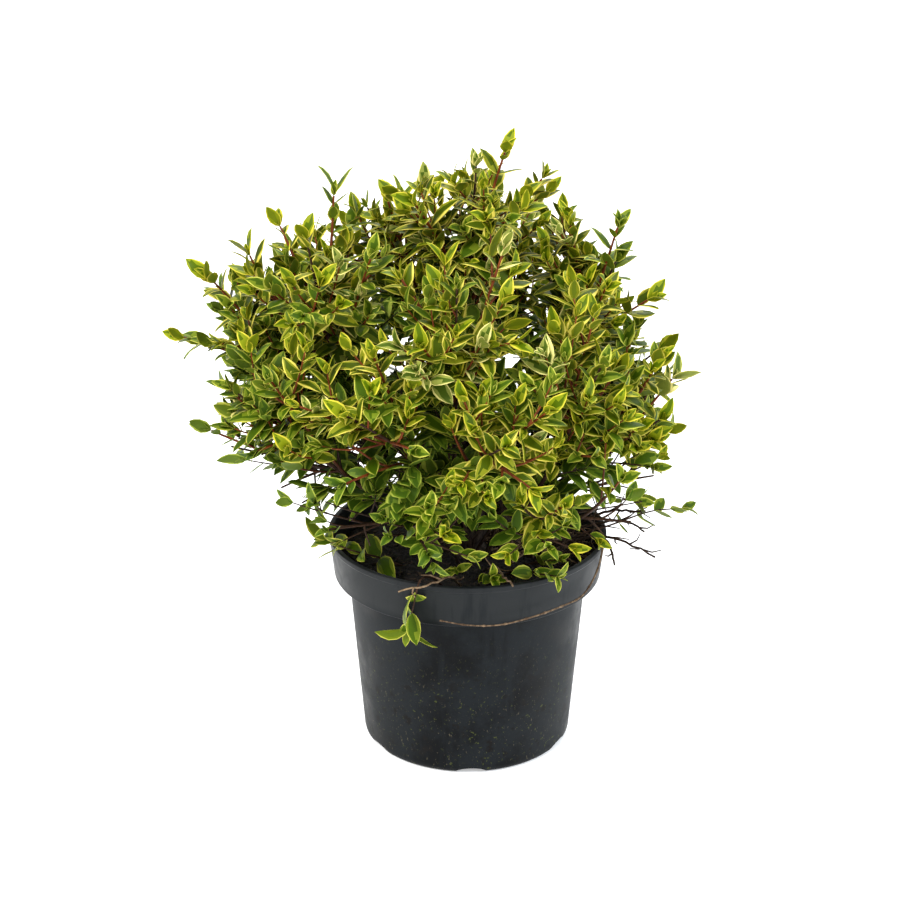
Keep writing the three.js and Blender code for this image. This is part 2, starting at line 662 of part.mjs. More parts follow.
const abelia = new THREE.Group();
abelia.add(meshOf("pot", potSolid, MATERIALS.plastic));
abelia.add(meshOf("compost", compostSolid, MATERIALS.compost));
abelia.add(meshOf("stool", stoolSolid, MATERIALS.bark));
canes.forEach((path, i) => {
  const cane = limb(path, CANE_FOOT_RADIUS, CANE_TIP_RADIUS, CANE_SIDES, CANE_STEPS);
  abelia.add(meshOf(`cane_${i + 1}`, cane, MATERIALS.bark));
});
for (const mass of masses) abelia.add(meshOf(mass.name, growMass(mass), MATERIALS.leaf));
for (const spray of LOW_SPRAYS) abelia.add(meshOf(spray.name, growLowSpray(spray), MATERIALS.leaf));
for (const dead of DEAD_TWIGS) abelia.add(meshOf(dead.name, growDead(dead), MATERIALS.deadWood));

export default abelia;
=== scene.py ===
# A glossy abelia with variegated leaves, in a round black nursery pot of compost.
# The object's frame is in metres, +Z up, with its origin under the middle of the pot and its front
# towards -Y. Growth is worked out in millimetres, as it is for the solids, and scaled as it is made.
import math

import bpy
import numpy as np
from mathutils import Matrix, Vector, noise


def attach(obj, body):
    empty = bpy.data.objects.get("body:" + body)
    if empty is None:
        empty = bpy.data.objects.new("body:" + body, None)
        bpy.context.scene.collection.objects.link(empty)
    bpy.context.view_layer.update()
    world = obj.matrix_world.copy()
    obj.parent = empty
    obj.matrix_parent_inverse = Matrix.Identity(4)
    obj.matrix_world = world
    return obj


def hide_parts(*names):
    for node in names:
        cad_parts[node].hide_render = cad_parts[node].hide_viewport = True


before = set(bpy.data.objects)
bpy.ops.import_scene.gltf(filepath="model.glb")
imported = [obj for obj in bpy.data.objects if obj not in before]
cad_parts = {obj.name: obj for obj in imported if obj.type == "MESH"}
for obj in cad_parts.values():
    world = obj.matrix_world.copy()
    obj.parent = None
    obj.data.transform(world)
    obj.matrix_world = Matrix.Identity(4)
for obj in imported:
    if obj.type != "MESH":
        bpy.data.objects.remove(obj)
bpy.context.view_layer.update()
MM = 0.001

# Camera
# It looks down on the plant from in front, with a long lens, as the photograph does.
CAMERA_PLACE = (-0.0143, -1.5121, 0.8578)
CAMERA_TILT = 68.147
CAMERA_LENS = 80
CAMERA_FILM = 36

camera_data = bpy.data.cameras.new("camera")
camera_data.lens = CAMERA_LENS
camera_data.sensor_width = CAMERA_FILM
camera = bpy.data.objects.new("camera", camera_data)
camera.location = CAMERA_PLACE
camera.rotation_euler = (math.radians(CAMERA_TILT), 0, 0)
bpy.context.scene.collection.objects.link(camera)
bpy.context.scene.camera = camera

# Studio
# A plain pale floor under an even white sky, with one broad soft lamp high on the left, one on the
# right and one behind that lights the tips of the crown.
FLOOR_HALF = 14
FLOOR_COLOUR = (0.84, 0.84, 0.84, 1)
SKY_COLOUR = (1.0, 1.0, 1.0, 1)
SKY_STRENGTH = 1.04
FLOOR_GLOW = 0.44
LAMPS = {
    "key_lamp": {"place": (-1.5, -1.6, 2.7), "side": 1.1, "watts": 94},
    "fill_lamp": {"place": (2.1, -1.1, 1.4), "side": 1.5, "watts": 44, "colour": (0.74, 0.87, 1.0)},
    "back_lamp": {"place": (0.4, 1.9, 2.3), "side": 1.4, "watts": 56},
}
LAMP_AIM = Vector((0, 0, 0.3))


def mesh_object(name, corners, faces, edges=()):
    mesh = bpy.data.meshes.new(name)
    mesh.from_pydata([tuple(corner) for corner in corners], edges, [tuple(face) for face in faces])
    made = bpy.data.objects.new(name, mesh)
    bpy.context.scene.collection.objects.link(made)
    return made


def plain_material(name, colour, roughness):
    material = bpy.data.materials.new(name)
    material.use_nodes = True
    shader = material.node_tree.nodes["Principled BSDF"]
    shader.inputs["Base Color"].default_value = colour
    shader.inputs["Roughness"].default_value = roughness
    return material


floor_corners = [(-1, -1, 0), (1, -1, 0), (1, 1, 0), (-1, 1, 0)]
floor = mesh_object("floor", [Vector(corner) * FLOOR_HALF for corner in floor_corners], [(0, 1, 2, 3)])
floor_paint = plain_material("floor_paint", FLOOR_COLOUR, 0.9)
floor_shader = floor_paint.node_tree.nodes["Principled BSDF"]
floor_shader.inputs["Emission Color"].default_value = FLOOR_COLOUR
floor_shader.inputs["Emission Strength"].default_value = FLOOR_GLOW
floor.data.materials.append(floor_paint)

sky = bpy.data.worlds.new("sky")
sky.use_nodes = True
sky.node_tree.nodes["Background"].inputs["Color"].default_value = SKY_COLOUR
sky.node_tree.nodes["Background"].inputs["Strength"].default_value = SKY_STRENGTH
bpy.context.scene.world = sky
bpy.context.scene.view_settings.view_transform = "Standard"
for lamp_name, lamp in LAMPS.items():
    lamp_data = bpy.data.lights.new(lamp_name, "AREA")
    lamp_data.size = lamp["side"]
    lamp_data.energy = lamp["watts"]
    lamp_data.color = lamp.get("colour", (1, 1, 1))
    lamp_object = bpy.data.objects.new(lamp_name, lamp_data)
    lamp_object.location = lamp["place"]
    aim = LAMP_AIM - Vector(lamp["place"])
    lamp_object.rotation_euler = aim.to_track_quat("-Z", "Y").to_euler()
    bpy.context.scene.collection.objects.link(lamp_object)

# Pot
# A thin-walled container blow-moulded from black recycled plastic: a deep collar over a step, a wall
# that narrows to a rounded foot, and six shallow arched drain channels, each with a round hole in it.
# Sizes from here on are in millimetres, and the fades of a finish are in metres.
POT_HEIGHT = 182
RIM_RADIUS = 115
LIP_DEEP = 5
LIP_OUT = 1
COLLAR_FOOT = 146
COLLAR_FOOT_RADIUS = 110.5
COLLAR_INSIDE_RADIUS = 107.1
MOUTH_RADIUS = 111
WALL_TOP_RADIUS = 98.6
WALL_FOOT_RADIUS = 87.5
WALL_THICK = 2.4
FOOT_FLAT_RADIUS = 80
FOOT_ROUND = 7
POT_SIDES = 144
DRAIN_COUNT = 6
DRAIN_FIRST = -88
DRAIN_WIDE = 26
DRAIN_DEEP = 5
DRAIN_FROM = 34
DRAIN_TO = 100
DRAIN_HOLE_RADIUS = 6
DRAIN_HOLE_AT = 66
CHANNEL_SIDES = 48
HOLE_SIDES = 32
HOLE_CUTTER_LONG = 40
PLASTIC_COLOUR = (0.0011, 0.0016, 0.0021, 1)
# The paler worn colour of dust and scratches, which also paints the sheen streaks
PLASTIC_WORN_AND_SHEEN = (0.0066, 0.0086, 0.0102, 1)
COLLAR_WORN = (0.0185, 0.0202, 0.021, 1)
GRIT_COLOUR = (0.055, 0.048, 0.03, 1)
ALGAE_COLOUR = (0.045, 0.052, 0.012, 1)
SOIL_SPLASH = (0.004, 0.0034, 0.003, 1)
# Scale, cover and edge of each kind of mark on the plastic, painted sheen streaks among them, and how some
# of them are drawn out
DUST = (22, 0.6, 0.24)
# The streaks are painted sheen: tall soft bands in the worn colour that stand in for reflections down the
# wall
SHEEN_STREAKS = (1, 0.66, 0.14)
SHEEN_STREAKS_DRAWN = (60, 60, 5)
SCRATCHES = (1, 0.74, 0.04)
SCRATCHES_DRAWN = (260, 260, 30)
SPECKS = (330, 0.66, 0.04)
SPECK_ZONES = (20, 0.5, 0.2)
GRIT = (560, 0.665, 0.03)
GRIT_DRAWN = (1, 1, 0.5)
SPLASHES = (90, 0.66, 0.12)
COLLAR_FADE = (0.144, 0.154)
COLLAR_SHARE = 0.9
# How strongly the scratches and the painted sheen streaks show
SCUFF_AND_SHEEN_SHARE = 0.7
LOW_FADE = (0.15, 0.04)
PLASTIC_ROUGHNESS = (0.34, 0.52)
PLASTIC_SPECULAR = 0.09


def ring_of(radius, height, sides):
    """Corners in metres of a level ring, from a radius and a height in millimetres."""
    angles = [2 * math.pi * side / sides for side in range(sides)]
    return [(radius * MM * math.cos(angle), radius * MM * math.sin(angle), height * MM) for angle in angles]


def turned(name, outline, sides):
    """A closed solid turned round Z from an outline in millimetres that starts and ends on the axis."""
    corners = [(0, 0, outline[0][1] * MM)]
    for radius, height in outline[1:-1]:
        corners += ring_of(radius, height, sides)
    corners.append((0, 0, outline[-1][1] * MM))
    faces = []
    rings = len(outline) - 2
    for side in range(sides):
        beside = (side + 1) % sides
        faces.append((0, 1 + beside, 1 + side))
        for ring in range(rings - 1):
            low = 1 + ring * sides
            high = low + sides
            faces.append((low + side, low + beside, high + beside, high + side))
        top = 1 + (rings - 1) * sides
        faces.append((top + side, top + beside, len(corners) - 1))
    return mesh_object(name, corners, faces)


def on_curve(start, bend, end, t):
    """The point at share t of the curve that leaves start towards bend and comes to end from it."""
    return start * (1 - t) ** 2 + bend * 2 * t * (1 - t) + end * t * t


def bent(start, bend, end, steps):
    return [on_curve(start, bend, end, step / steps) for step in range(steps + 1)]


def rounded(outline, bends, steps):
    """The outline with each corner named in bends drawn as an arc that starts that far from it."""
    smooth = []
    for place, (radius, height) in enumerate(outline):
        if place not in bends:
            smooth.append((radius, height))
            continue
        corner = Vector((radius, height))
        before = Vector(outline[place - 1]) - corner
        after = Vector(outline[place + 1]) - corner
        start = corner + before.normalized() * bends[place]
        end = corner + after.normalized() * bends[place]
        smooth += [tuple(point) for point in bent(start, corner, end, steps)]
    return smooth


def new_tree(name, inputs):
    """An empty geometry tree with these named inputs after its geometry."""
    tree = bpy.data.node_groups.new(name, "GeometryNodeTree")
    tree.interface.new_socket("Geometry", in_out="INPUT", socket_type="NodeSocketGeometry")
    for input_name, kind in inputs.items():
        tree.interface.new_socket(input_name, in_out="INPUT", socket_type="NodeSocket" + kind)
    tree.interface.new_socket("Geometry", in_out="OUTPUT", socket_type="NodeSocketGeometry")
    return tree, tree.nodes.new("NodeGroupInput"), tree.nodes.new("NodeGroupOutput")


def node_of(tree, kind, values=None, **settings):
    """A node of this kind with its settings; each value is a plain one or an output to link."""
    node = tree.nodes.new(kind)
    for setting, value in settings.items():
        setattr(node, setting, value)
    for socket, value in (values or {}).items():
        if isinstance(value, bpy.types.NodeSocket):
            tree.links.new(value, node.inputs[socket])
        else:
            node.inputs[socket].default_value = value
    return node


def modified_mesh(piece):
    """A plain mesh of the piece as its modifiers leave it; they are then cleared."""
    depsgraph = bpy.context.evaluated_depsgraph_get()
    mesh = bpy.data.meshes.new_from_object(piece.evaluated_get(depsgraph), depsgraph=depsgraph)
    piece.modifiers.clear()
    return mesh


def grown_mesh(name, source, tree, values):
    """The plain mesh that the tree makes of the source object, which is then removed."""
    modifier = source.modifiers.new("growth", "NODES")
    modifier.node_group = tree
    for item in tree.interface.items_tree:
        if item.in_out == "INPUT" and item.name in values:
            modifier[item.identifier] = values[item.name]
    mesh = modified_mesh(source)
    bpy.data.objects.remove(source)
    mesh.name = name
    for attribute in [a.name for a in mesh.attributes if not (a.is_internal or a.is_required)]:
        if attribute not in ("material_index", "sharp_face", "sharp_edge"):
            mesh.attributes.remove(mesh.attributes[attribute])
    made = bpy.data.objects.new(name, mesh)
    bpy.context.scene.collection.objects.link(made)
    return made


def noise_of(tree, place, scale, detail, roughness=0.5):
    values = {"Vector": place, "Scale": scale, "Detail": detail, "Roughness": roughness}
    return node_of(tree, "ShaderNodeTexNoise", values).outputs["Fac"]


def ramp_of(tree, value, low, high):
    """0 below low and 1 above high, smoothly."""
    values = {"Value": value, "From Min": low, "From Max": high}
    return node_of(tree, "ShaderNodeMapRange", values, interpolation_type="SMOOTHSTEP").outputs["Result"]


def spread_of(tree, value, low, high):
    """low where the value is 0 and high where it is 1."""
    values = {"Value": value, "To Min": low, "To Max": high}
    return node_of(tree, "ShaderNodeMapRange", values).outputs["Result"]


def paint(tree, shader, colour, layers):
    """Colours the shader, with each layer's own colour mixed over the first by the layer's share."""
    for share, over in layers:
        values = {"Factor": share, 6: colour, 7: over}
        colour = node_of(tree, "ShaderNodeMix", values, data_type="RGBA").outputs[2]
    tree.links.new(colour, shader.inputs["Base Color"])


def math_of(tree, operation, *values):
    return node_of(tree, "ShaderNodeMath", dict(enumerate(values)), operation=operation).outputs[0]


def product(tree, first, second):
    return math_of(tree, "MULTIPLY", first, second)


# Blotches of dust, lime or moss that several finishes carry: a mask that is 1 where they lie
stain_group = bpy.data.node_groups.new("stains", "ShaderNodeTree")
for socket_name in ("Scale", "Cover", "Edge"):
    stain_group.interface.new_socket(socket_name, in_out="INPUT", socket_type="NodeSocketFloat")
stain_group.interface.new_socket("Place", in_out="INPUT", socket_type="NodeSocketVector")
stain_group.interface.new_socket("Mask", in_out="OUTPUT", socket_type="NodeSocketFloat")
stain_in = stain_group.nodes.new("NodeGroupInput")
stain_out = stain_group.nodes.new("NodeGroupOutput")
stain_noise = noise_of(stain_group, stain_in.outputs["Place"], stain_in.outputs["Scale"], 6, 0.62)
stain_low = math_of(stain_group, "SUBTRACT", stain_in.outputs["Cover"], stain_in.outputs["Edge"])
stain_mask = ramp_of(stain_group, stain_noise, stain_low, stain_in.outputs["Cover"])
stain_group.links.new(stain_mask, stain_out.inputs["Mask"])


def stains(tree, place, scale, cover, edge):
    """More of the surface is covered where cover is low; edge is how soft the blotches' edges are."""
    values = {"Place": place, "Scale": scale, "Cover": cover, "Edge": edge}
    return node_of(tree, "ShaderNodeGroup", values, node_tree=stain_group).outputs["Mask"]


def empty_material(name, roughness):
    """A material's tree, its shader and the place on the piece that its patterns read."""
    material = plain_material(name, (1, 1, 1, 1), roughness)
    tree = material.node_tree
    place = tree.nodes.new("ShaderNodeTexCoord").outputs["Object"]
    return material, tree, tree.nodes["Principled BSDF"], place


def stretched(tree, place, scale):
    return node_of(tree, "ShaderNodeMapping", {"Vector": place, "Scale": scale}).outputs["Vector"]


def add_relief(tree, shader, height, strength, deep):
    values = {"Height": height, "Strength": strength, "Distance": deep * MM}
    bump = node_of(tree, "ShaderNodeBump", values)
    tree.links.new(bump.outputs["Normal"], shader.inputs["Normal"])


plastic, tree, shader, place = empty_material("black_pot_plastic", 0.4)
shader.inputs["Specular IOR Level"].default_value = PLASTIC_SPECULAR
height_above = node_of(tree, "ShaderNodeSeparateXYZ", {"Vector": place}).outputs["Z"]
on_collar = ramp_of(tree, height_above, *COLLAR_FADE)
low_down = ramp_of(tree, height_above, *LOW_FADE)
dust = stains(tree, place, *DUST)
# Painted sheen: soft vertical bands, lighter like reflections running down the wall
sheen_streaks = stains(tree, stretched(tree, place, SHEEN_STREAKS_DRAWN), *SHEEN_STREAKS)
scratches = stains(tree, stretched(tree, place, SCRATCHES_DRAWN), *SCRATCHES)
grit = stains(tree, stretched(tree, place, GRIT_DRAWN), *GRIT)
algae = product(tree, stains(tree, place, *SPECKS), stains(tree, place, *SPECK_ZONES))
plastic_layers = (
    (dust, PLASTIC_WORN_AND_SHEEN),
    (product(tree, on_collar, COLLAR_SHARE), COLLAR_WORN),
    # The painted sheen streaks, then the real scratches, both in the paler worn colour
    (product(tree, sheen_streaks, SCUFF_AND_SHEEN_SHARE), PLASTIC_WORN_AND_SHEEN),
    (product(tree, scratches, SCUFF_AND_SHEEN_SHARE), PLASTIC_WORN_AND_SHEEN),
    (product(tree, grit, low_down), GRIT_COLOUR),
    (product(tree, algae, low_down), ALGAE_COLOUR),
    (product(tree, stains(tree, place, *SPLASHES), low_down), SOIL_SPLASH),
)
paint(tree, shader, PLASTIC_COLOUR, plastic_layers)
tree.links.new(spread_of(tree, dust, *PLASTIC_ROUGHNESS), shader.inputs["Roughness"])
add_relief(tree, shader, noise_of(tree, place, 900, 3), 0.25, 0.12)

pot_outline = [
    (0, 0),
    (FOOT_FLAT_RADIUS, 0),
    (WALL_FOOT_RADIUS - 0.5, 0.2),
    (WALL_FOOT_RADIUS, FOOT_ROUND),
    (WALL_TOP_RADIUS, COLLAR_FOOT - 3),
    (COLLAR_FOOT_RADIUS, COLLAR_FOOT),
    (RIM_RADIUS - LIP_OUT, POT_HEIGHT - LIP_DEEP),
    (RIM_RADIUS, POT_HEIGHT - LIP_DEEP + 1),
    (RIM_RADIUS, POT_HEIGHT),
    (MOUTH_RADIUS, POT_HEIGHT),
    (COLLAR_INSIDE_RADIUS, COLLAR_FOOT + 3),
    (WALL_TOP_RADIUS - WALL_THICK, COLLAR_FOOT - 1),
    (WALL_FOOT_RADIUS - WALL_THICK, DRAIN_DEEP + WALL_THICK),
    (0, DRAIN_DEEP + WALL_THICK),
]
# How far from each of the outline's corners its arc starts
pot_bends = {2: 5, 4: 2.2, 5: 1.6, 6: 0.5, 7: 0.5, 8: 1, 9: 0.8, 10: 2, 11: 2, 12: 2}
pot = turned("pot_shell", rounded(pot_outline, pot_bends, 4), POT_SIDES)


def cylinder_at(tree, sides, radius, long, placing):
    """A cylinder along Z that is then moved, turned and stretched as placing says."""
    sizes = {"Vertices": sides, "Radius": radius, "Depth": long}
    placing["Geometry"] = node_of(tree, "GeometryNodeMeshCylinder", sizes).outputs["Mesh"]
    return node_of(tree, "GeometryNodeTransform", placing).outputs["Geometry"]


def give_out(tree, tree_out, grown, material):
    """Ends the tree with what the last node has grown, made real and in this material."""
    real = node_of(tree, "GeometryNodeRealizeInstances", {"Geometry": grown.outputs[0]})
    values = {"Geometry": real.outputs[0], "Material": material}
    tree.links.new(node_of(tree, "GeometryNodeSetMaterial", values).outputs[0], tree_out.inputs[0])


# One drain channel's cutter with the cutter of its hole, which the tree repeats round the axis
drain_tree, drain_in, drain_out = new_tree(
    "drain_cutters",
    {
        "Count": "Int",
        "First Azimuth": "Float",
        "Long": "Float",
        "Wide": "Float",
        "Deep": "Float",
        "Hole Radius": "Float",
    },
)
drain = drain_in.outputs
channel_size = {"X": drain["Deep"], "Y": drain["Wide"], "Z": drain["Long"]}
channel_placing = {
    "Translation": ((DRAIN_FROM + DRAIN_TO) / 2 * MM, 0, 0),
    "Rotation": (0, math.pi / 2, 0),
    "Scale": node_of(drain_tree, "ShaderNodeCombineXYZ", channel_size).outputs["Vector"],
}
channel = cylinder_at(drain_tree, CHANNEL_SIDES, 0.5, 1.0, channel_placing)
hole_placing = {"Translation": (DRAIN_HOLE_AT * MM, 0, 0)}
hole = cylinder_at(drain_tree, HOLE_SIDES, drain["Hole Radius"], HOLE_CUTTER_LONG * MM, hole_placing)
channel_and_hole = node_of(drain_tree, "GeometryNodeMeshBoolean", {"Mesh 2": channel}, operation="UNION")
drain_tree.links.new(hole, channel_and_hole.inputs["Mesh 2"])
turn_step = math_of(drain_tree, "DIVIDE", 2 * math.pi, drain["Count"])
channel_number = drain_tree.nodes.new("GeometryNodeInputIndex").outputs[0]
channel_turn = math_of(drain_tree, "MULTIPLY_ADD", channel_number, turn_step, drain["First Azimuth"])
channels = node_of(
    drain_tree,
    "GeometryNodeInstanceOnPoints",
    {
        "Points": node_of(drain_tree, "GeometryNodePoints", {"Count": drain["Count"]}).outputs[0],
        "Instance": channel_and_hole.outputs["Mesh"],
        "Rotation": node_of(drain_tree, "ShaderNodeCombineXYZ", {"Z": channel_turn}).outputs["Vector"],
    },
)
give_out(drain_tree, drain_out, channels, plastic)
cutter_values = {
    "Count": DRAIN_COUNT,
    "First Azimuth": math.radians(DRAIN_FIRST),
    "Long": (DRAIN_TO - DRAIN_FROM) * MM,
    "Wide": DRAIN_WIDE * MM,
    "Deep": 2 * DRAIN_DEEP * MM,
    "Hole Radius": DRAIN_HOLE_RADIUS * MM,
}
cutters = grown_mesh("drain_cutters", mesh_object("seed_point", [(0, 0, 0)], []), drain_tree, cutter_values)


def cut(piece, cutter):
    """Cuts the cutter out of the piece and removes it."""
    modifier = piece.modifiers.new("cut", "BOOLEAN")
    modifier.object = cutter
    modifier.solver = "EXACT"
    piece.data = modified_mesh(piece)
    bpy.data.objects.remove(cutter)


def smooth_to(piece, angle):
    """Smooth shading, with every edge sharper than the angle kept crisp."""
    for polygon in piece.data.polygons:
        polygon.use_smooth = True
    piece.data.set_sharp_from_angle(angle=math.radians(angle))


cut(pot, cutters)
smooth_to(pot, 38)
pot.data.materials.clear()
pot.data.materials.append(plastic)
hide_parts("pot")
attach(pot, "root")

# Compost
# Dark peat-free compost, filled to two fingers under the rim: a shallow mound of crumbs with chips of
# bark pressed into it, and a little moss where it stays wet.
COMPOST_TOP = 163
COMPOST_EDGE = 159
COMPOST_EDGE_RADIUS = 106.2
COMPOST_FLAT_RADIUS = 30
COMPOST_BELOW = ((84, 7.8), (95.4, 143), (106.2, 151))
COMPOST_RINGS = 74
COMPOST_SIDES = 240
CRUMB_RELIEF = 2.6
CRUMB_SIZES = (9, 3.4)
COMPOST_DARK = (0.0065, 0.0048, 0.0038, 1)
COMPOST_BROWN = (0.026, 0.016, 0.0095, 1)
MOSS_COLOUR = (0.035, 0.045, 0.008, 1)
MOSS = (22, 0.66, 0.08)


def compost_height(radius):
    """The mound's height in millimetres, without its crumbs."""
    out = max(0.0, (radius - COMPOST_FLAT_RADIUS) / (COMPOST_EDGE_RADIUS - COMPOST_FLAT_RADIUS))
    return COMPOST_TOP + (COMPOST_EDGE - COMPOST_TOP) * out


def crumbs(x, y):
    height = 0
    for share, size in zip((1, 0.55), CRUMB_SIZES):
        height += share * noise.noise(Vector((x / size, y / size, 3.7 * share)))
    return CRUMB_RELIEF * height


compost_outline = [(0, COMPOST_BELOW[0][1]), *COMPOST_BELOW]
for ring in range(COMPOST_RINGS, 0, -1):
    radius = COMPOST_EDGE_RADIUS * ring / COMPOST_RINGS
    compost_outline.append((radius, compost_height(radius)))
compost_outline.append((0, COMPOST_TOP))
compost = turned("compost_surface", compost_outline, COMPOST_SIDES)
first_crumb = 1 + COMPOST_SIDES * len(COMPOST_BELOW)
for corner in list(compost.data.vertices)[first_crumb:-1]:
    corner.co.z += crumbs(corner.co.x / MM, corner.co.y / MM) * MM
smooth_to(compost, 60)

soil, tree, shader, place = empty_material("damp_compost", 0.95)
crumb_tones = noise_of(tree, place, 240, 8, 0.7)
moss_tufts = ramp_of(tree, noise_of(tree, place, 700, 3), 0.35, 0.6)
compost_layers = (
    (ramp_of(tree, crumb_tones, 0.42, 0.68), COMPOST_BROWN),
    (product(tree, stains(tree, place, *MOSS), moss_tufts), MOSS_COLOUR),
)
paint(tree, shader, COMPOST_DARK, compost_layers)
add_relief(tree, shader, crumb_tones, 1, 2.5)
compost.data.materials.append(soil)
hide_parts("compost")
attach(compost, "root")

# Bark chips
# Long flat splinters of bark that a tree of nodes scatters over the compost, half sunk in it and
# turned every way.
CHIP_DARK = (0.02, 0.0115, 0.0068, 1)
CHIP_PALE = (0.085, 0.052, 0.03, 1)
CHIPS_PER_SQUARE_METRE = 30000
CHIP_LONG = (2.5, 9.0)
CHIP_SHAPES = ((0.8, 0.12, 0.1), (1.2, 0.45, 0.3))
CHIP_TURNS = ((-0.35, -0.35, 0.0), (0.35, 0.35, 6.283))
CHIP_SEED = 7
CHIP_LONG_SEED = 5
CHIP_SHAPE_SEED = 9
CHIP_GROUND_RADIUS = 101
CHIP_GROUND_SIDES = 48
CHIPS_LIFTED = 0.8

chip_bark, tree, shader, place = empty_material("bark_chips", 0.9)
fibre = ramp_of(tree, noise_of(tree, place, 260, 5, 0.6), 0.3, 0.8)
paint(tree, shader, CHIP_DARK, [(fibre, CHIP_PALE)])
add_relief(tree, shader, noise_of(tree, place, 800, 3), 0.6, 0.4)

chip_tree, chip_in, chip_out = new_tree(
    "scattered_chips", {"Density": "Float", "Seed": "Int", "Shortest": "Float", "Longest": "Float"}
)
chip_points = node_of(
    chip_tree,
    "GeometryNodeDistributePointsOnFaces",
    {
        "Mesh": chip_in.outputs["Geometry"],
        "Density": chip_in.outputs["Density"],
        "Seed": chip_in.outputs["Seed"],
    },
)


def random_vector(low_high, seed):
    values = {0: low_high[0], 1: low_high[1], "Seed": seed}
    return node_of(chip_tree, "FunctionNodeRandomValue", values, data_type="FLOAT_VECTOR").outputs[0]


chip_long = node_of(
    chip_tree,
    "FunctionNodeRandomValue",
    {2: chip_in.outputs["Shortest"], 3: chip_in.outputs["Longest"], "Seed": CHIP_LONG_SEED},
    data_type="FLOAT",
)
chip_size = {0: random_vector(CHIP_SHAPES, CHIP_SHAPE_SEED), "Scale": chip_long.outputs[1]}
chip_body = node_of(chip_tree, "GeometryNodeMeshIcoSphere", {"Radius": 0.5, "Subdivisions": 1})
chips_placed = node_of(
    chip_tree,
    "GeometryNodeInstanceOnPoints",
    {
        "Points": chip_points.outputs[0],
        "Instance": chip_body.outputs["Mesh"],
        "Rotation": random_vector(CHIP_TURNS, chip_in.outputs["Seed"]),
        "Scale": node_of(chip_tree, "ShaderNodeVectorMath", chip_size, operation="SCALE").outputs["Vector"],
    },
)
give_out(chip_tree, chip_out, chips_placed, chip_bark)
ground_corners = ring_of(CHIP_GROUND_RADIUS, COMPOST_EDGE + CHIPS_LIFTED, CHIP_GROUND_SIDES)
ground_corners.append((0, 0, (COMPOST_TOP + CHIPS_LIFTED) * MM))
ground_sides = range(CHIP_GROUND_SIDES)
ground_faces = [(side, (side + 1) % CHIP_GROUND_SIDES, CHIP_GROUND_SIDES) for side in ground_sides]
chip_values = {
    "Density": CHIPS_PER_SQUARE_METRE,
    "Seed": CHIP_SEED,
    "Shortest": CHIP_LONG[0] * MM,
    "Longest": CHIP_LONG[1] * MM,
}
chip_ground = mesh_object("chip_ground", ground_corners, ground_faces)
chips = grown_mesh("bark_chips", chip_ground, chip_tree, chip_values)
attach(chips, "root")

# Stool
# The woody base that every cane rises from: a root flare in the compost, a neck and a knobbly head,
# all of it grey-brown bark that splits along its length.
HEART = Vector((0, 0, 180))
GAP = 0.35
STOOL_FOOT_RADIUS = 25
STOOL_NECK_RADIUS = 12
STOOL_HEAD_RADIUS = 15
FLARE_CURVE = 2.2
STOOL_SIDES = 72
STOOL_ROWS = 40
STOOL_RIDGE = 1.1
STOOL_BUTTRESSES = 7
BUTTRESSES_BELOW = 170
OLD_BARK_DARK = (0.018, 0.0125, 0.0098, 1)
OLD_BARK_PALE = (0.085, 0.06, 0.043, 1)
BARK_SPECULAR = 0.15
INSIDE_FADE = (0.205, 0.135)


def bark_material(name, dark, pale, roughness, cracks_scale, deep, inside=None):
    """Bark with long dark cracks between paler ridges; inside is its colour deep in the crown."""
    material, tree, shader, place = empty_material(name, roughness)
    shader.inputs["Specular IOR Level"].default_value = BARK_SPECULAR
    cracks = noise_of(tree, stretched(tree, place, (1, 1, 0.35)), cracks_scale, 6, 0.6)
    blotches = ramp_of(tree, noise_of(tree, place, cracks_scale / 6, 3), 0.35, 0.7)
    layers = [(ramp_of(tree, cracks, 0.36, 0.66), pale), (product(tree, blotches, 0.6), dark)]
    if inside:
        from_heart = node_of(tree, "ShaderNodeVectorMath", {0: place, 1: HEART * MM}, operation="DISTANCE")
        layers.append((ramp_of(tree, from_heart.outputs["Value"], *INSIDE_FADE), inside))
    paint(tree, shader, dark, layers)
    add_relief(tree, shader, cracks, 0.8, deep)
    return material


old_bark = bark_material("old_bark", OLD_BARK_DARK, OLD_BARK_PALE, 0.85, 420, 0.5)
neck_height = HEART.z - math.sqrt(STOOL_HEAD_RADIUS**2 - STOOL_NECK_RADIUS**2)
stool_outline = [(0, COMPOST_TOP - 3)]
for row in range(STOOL_ROWS // 2):
    up = row / (STOOL_ROWS // 2)
    flared = (STOOL_FOOT_RADIUS - STOOL_NECK_RADIUS) * (1 - up) ** FLARE_CURVE
    stool_outline.append((STOOL_NECK_RADIUS + flared, COMPOST_TOP - 1.5 + (neck_height - COMPOST_TOP) * up))
from_angle = math.asin((neck_height - HEART.z) / STOOL_HEAD_RADIUS)
for row in range(STOOL_ROWS // 2):
    angle = from_angle + (math.pi / 2 - from_angle) * row / (STOOL_ROWS // 2)
    height = HEART.z + STOOL_HEAD_RADIUS * math.sin(angle)
    stool_outline.append((STOOL_HEAD_RADIUS * math.cos(angle), height))
stool_outline.append((0, HEART.z + STOOL_HEAD_RADIUS))
stool = turned("stool_bark", stool_outline, STOOL_SIDES)
for corner in stool.data.vertices:
    out = Vector((corner.co.x, corner.co.y, 0))
    if out.length < 1e-5:
        continue
    turn = math.atan2(out.y, out.x)
    ridge = noise.noise(Vector((3.2 * math.cos(turn), 3.2 * math.sin(turn), corner.co.z * 60)))
    buttress = max(0.0, (BUTTRESSES_BELOW * MM - corner.co.z) * 60)
    ridge += 0.5 * math.sin(STOOL_BUTTRESSES * turn) * buttress
    corner.co += out.normalized() * STOOL_RIDGE * MM * ridge
smooth_to(stool, 60)
stool.data.materials.append(old_bark)
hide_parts("stool")
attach(stool, "root")

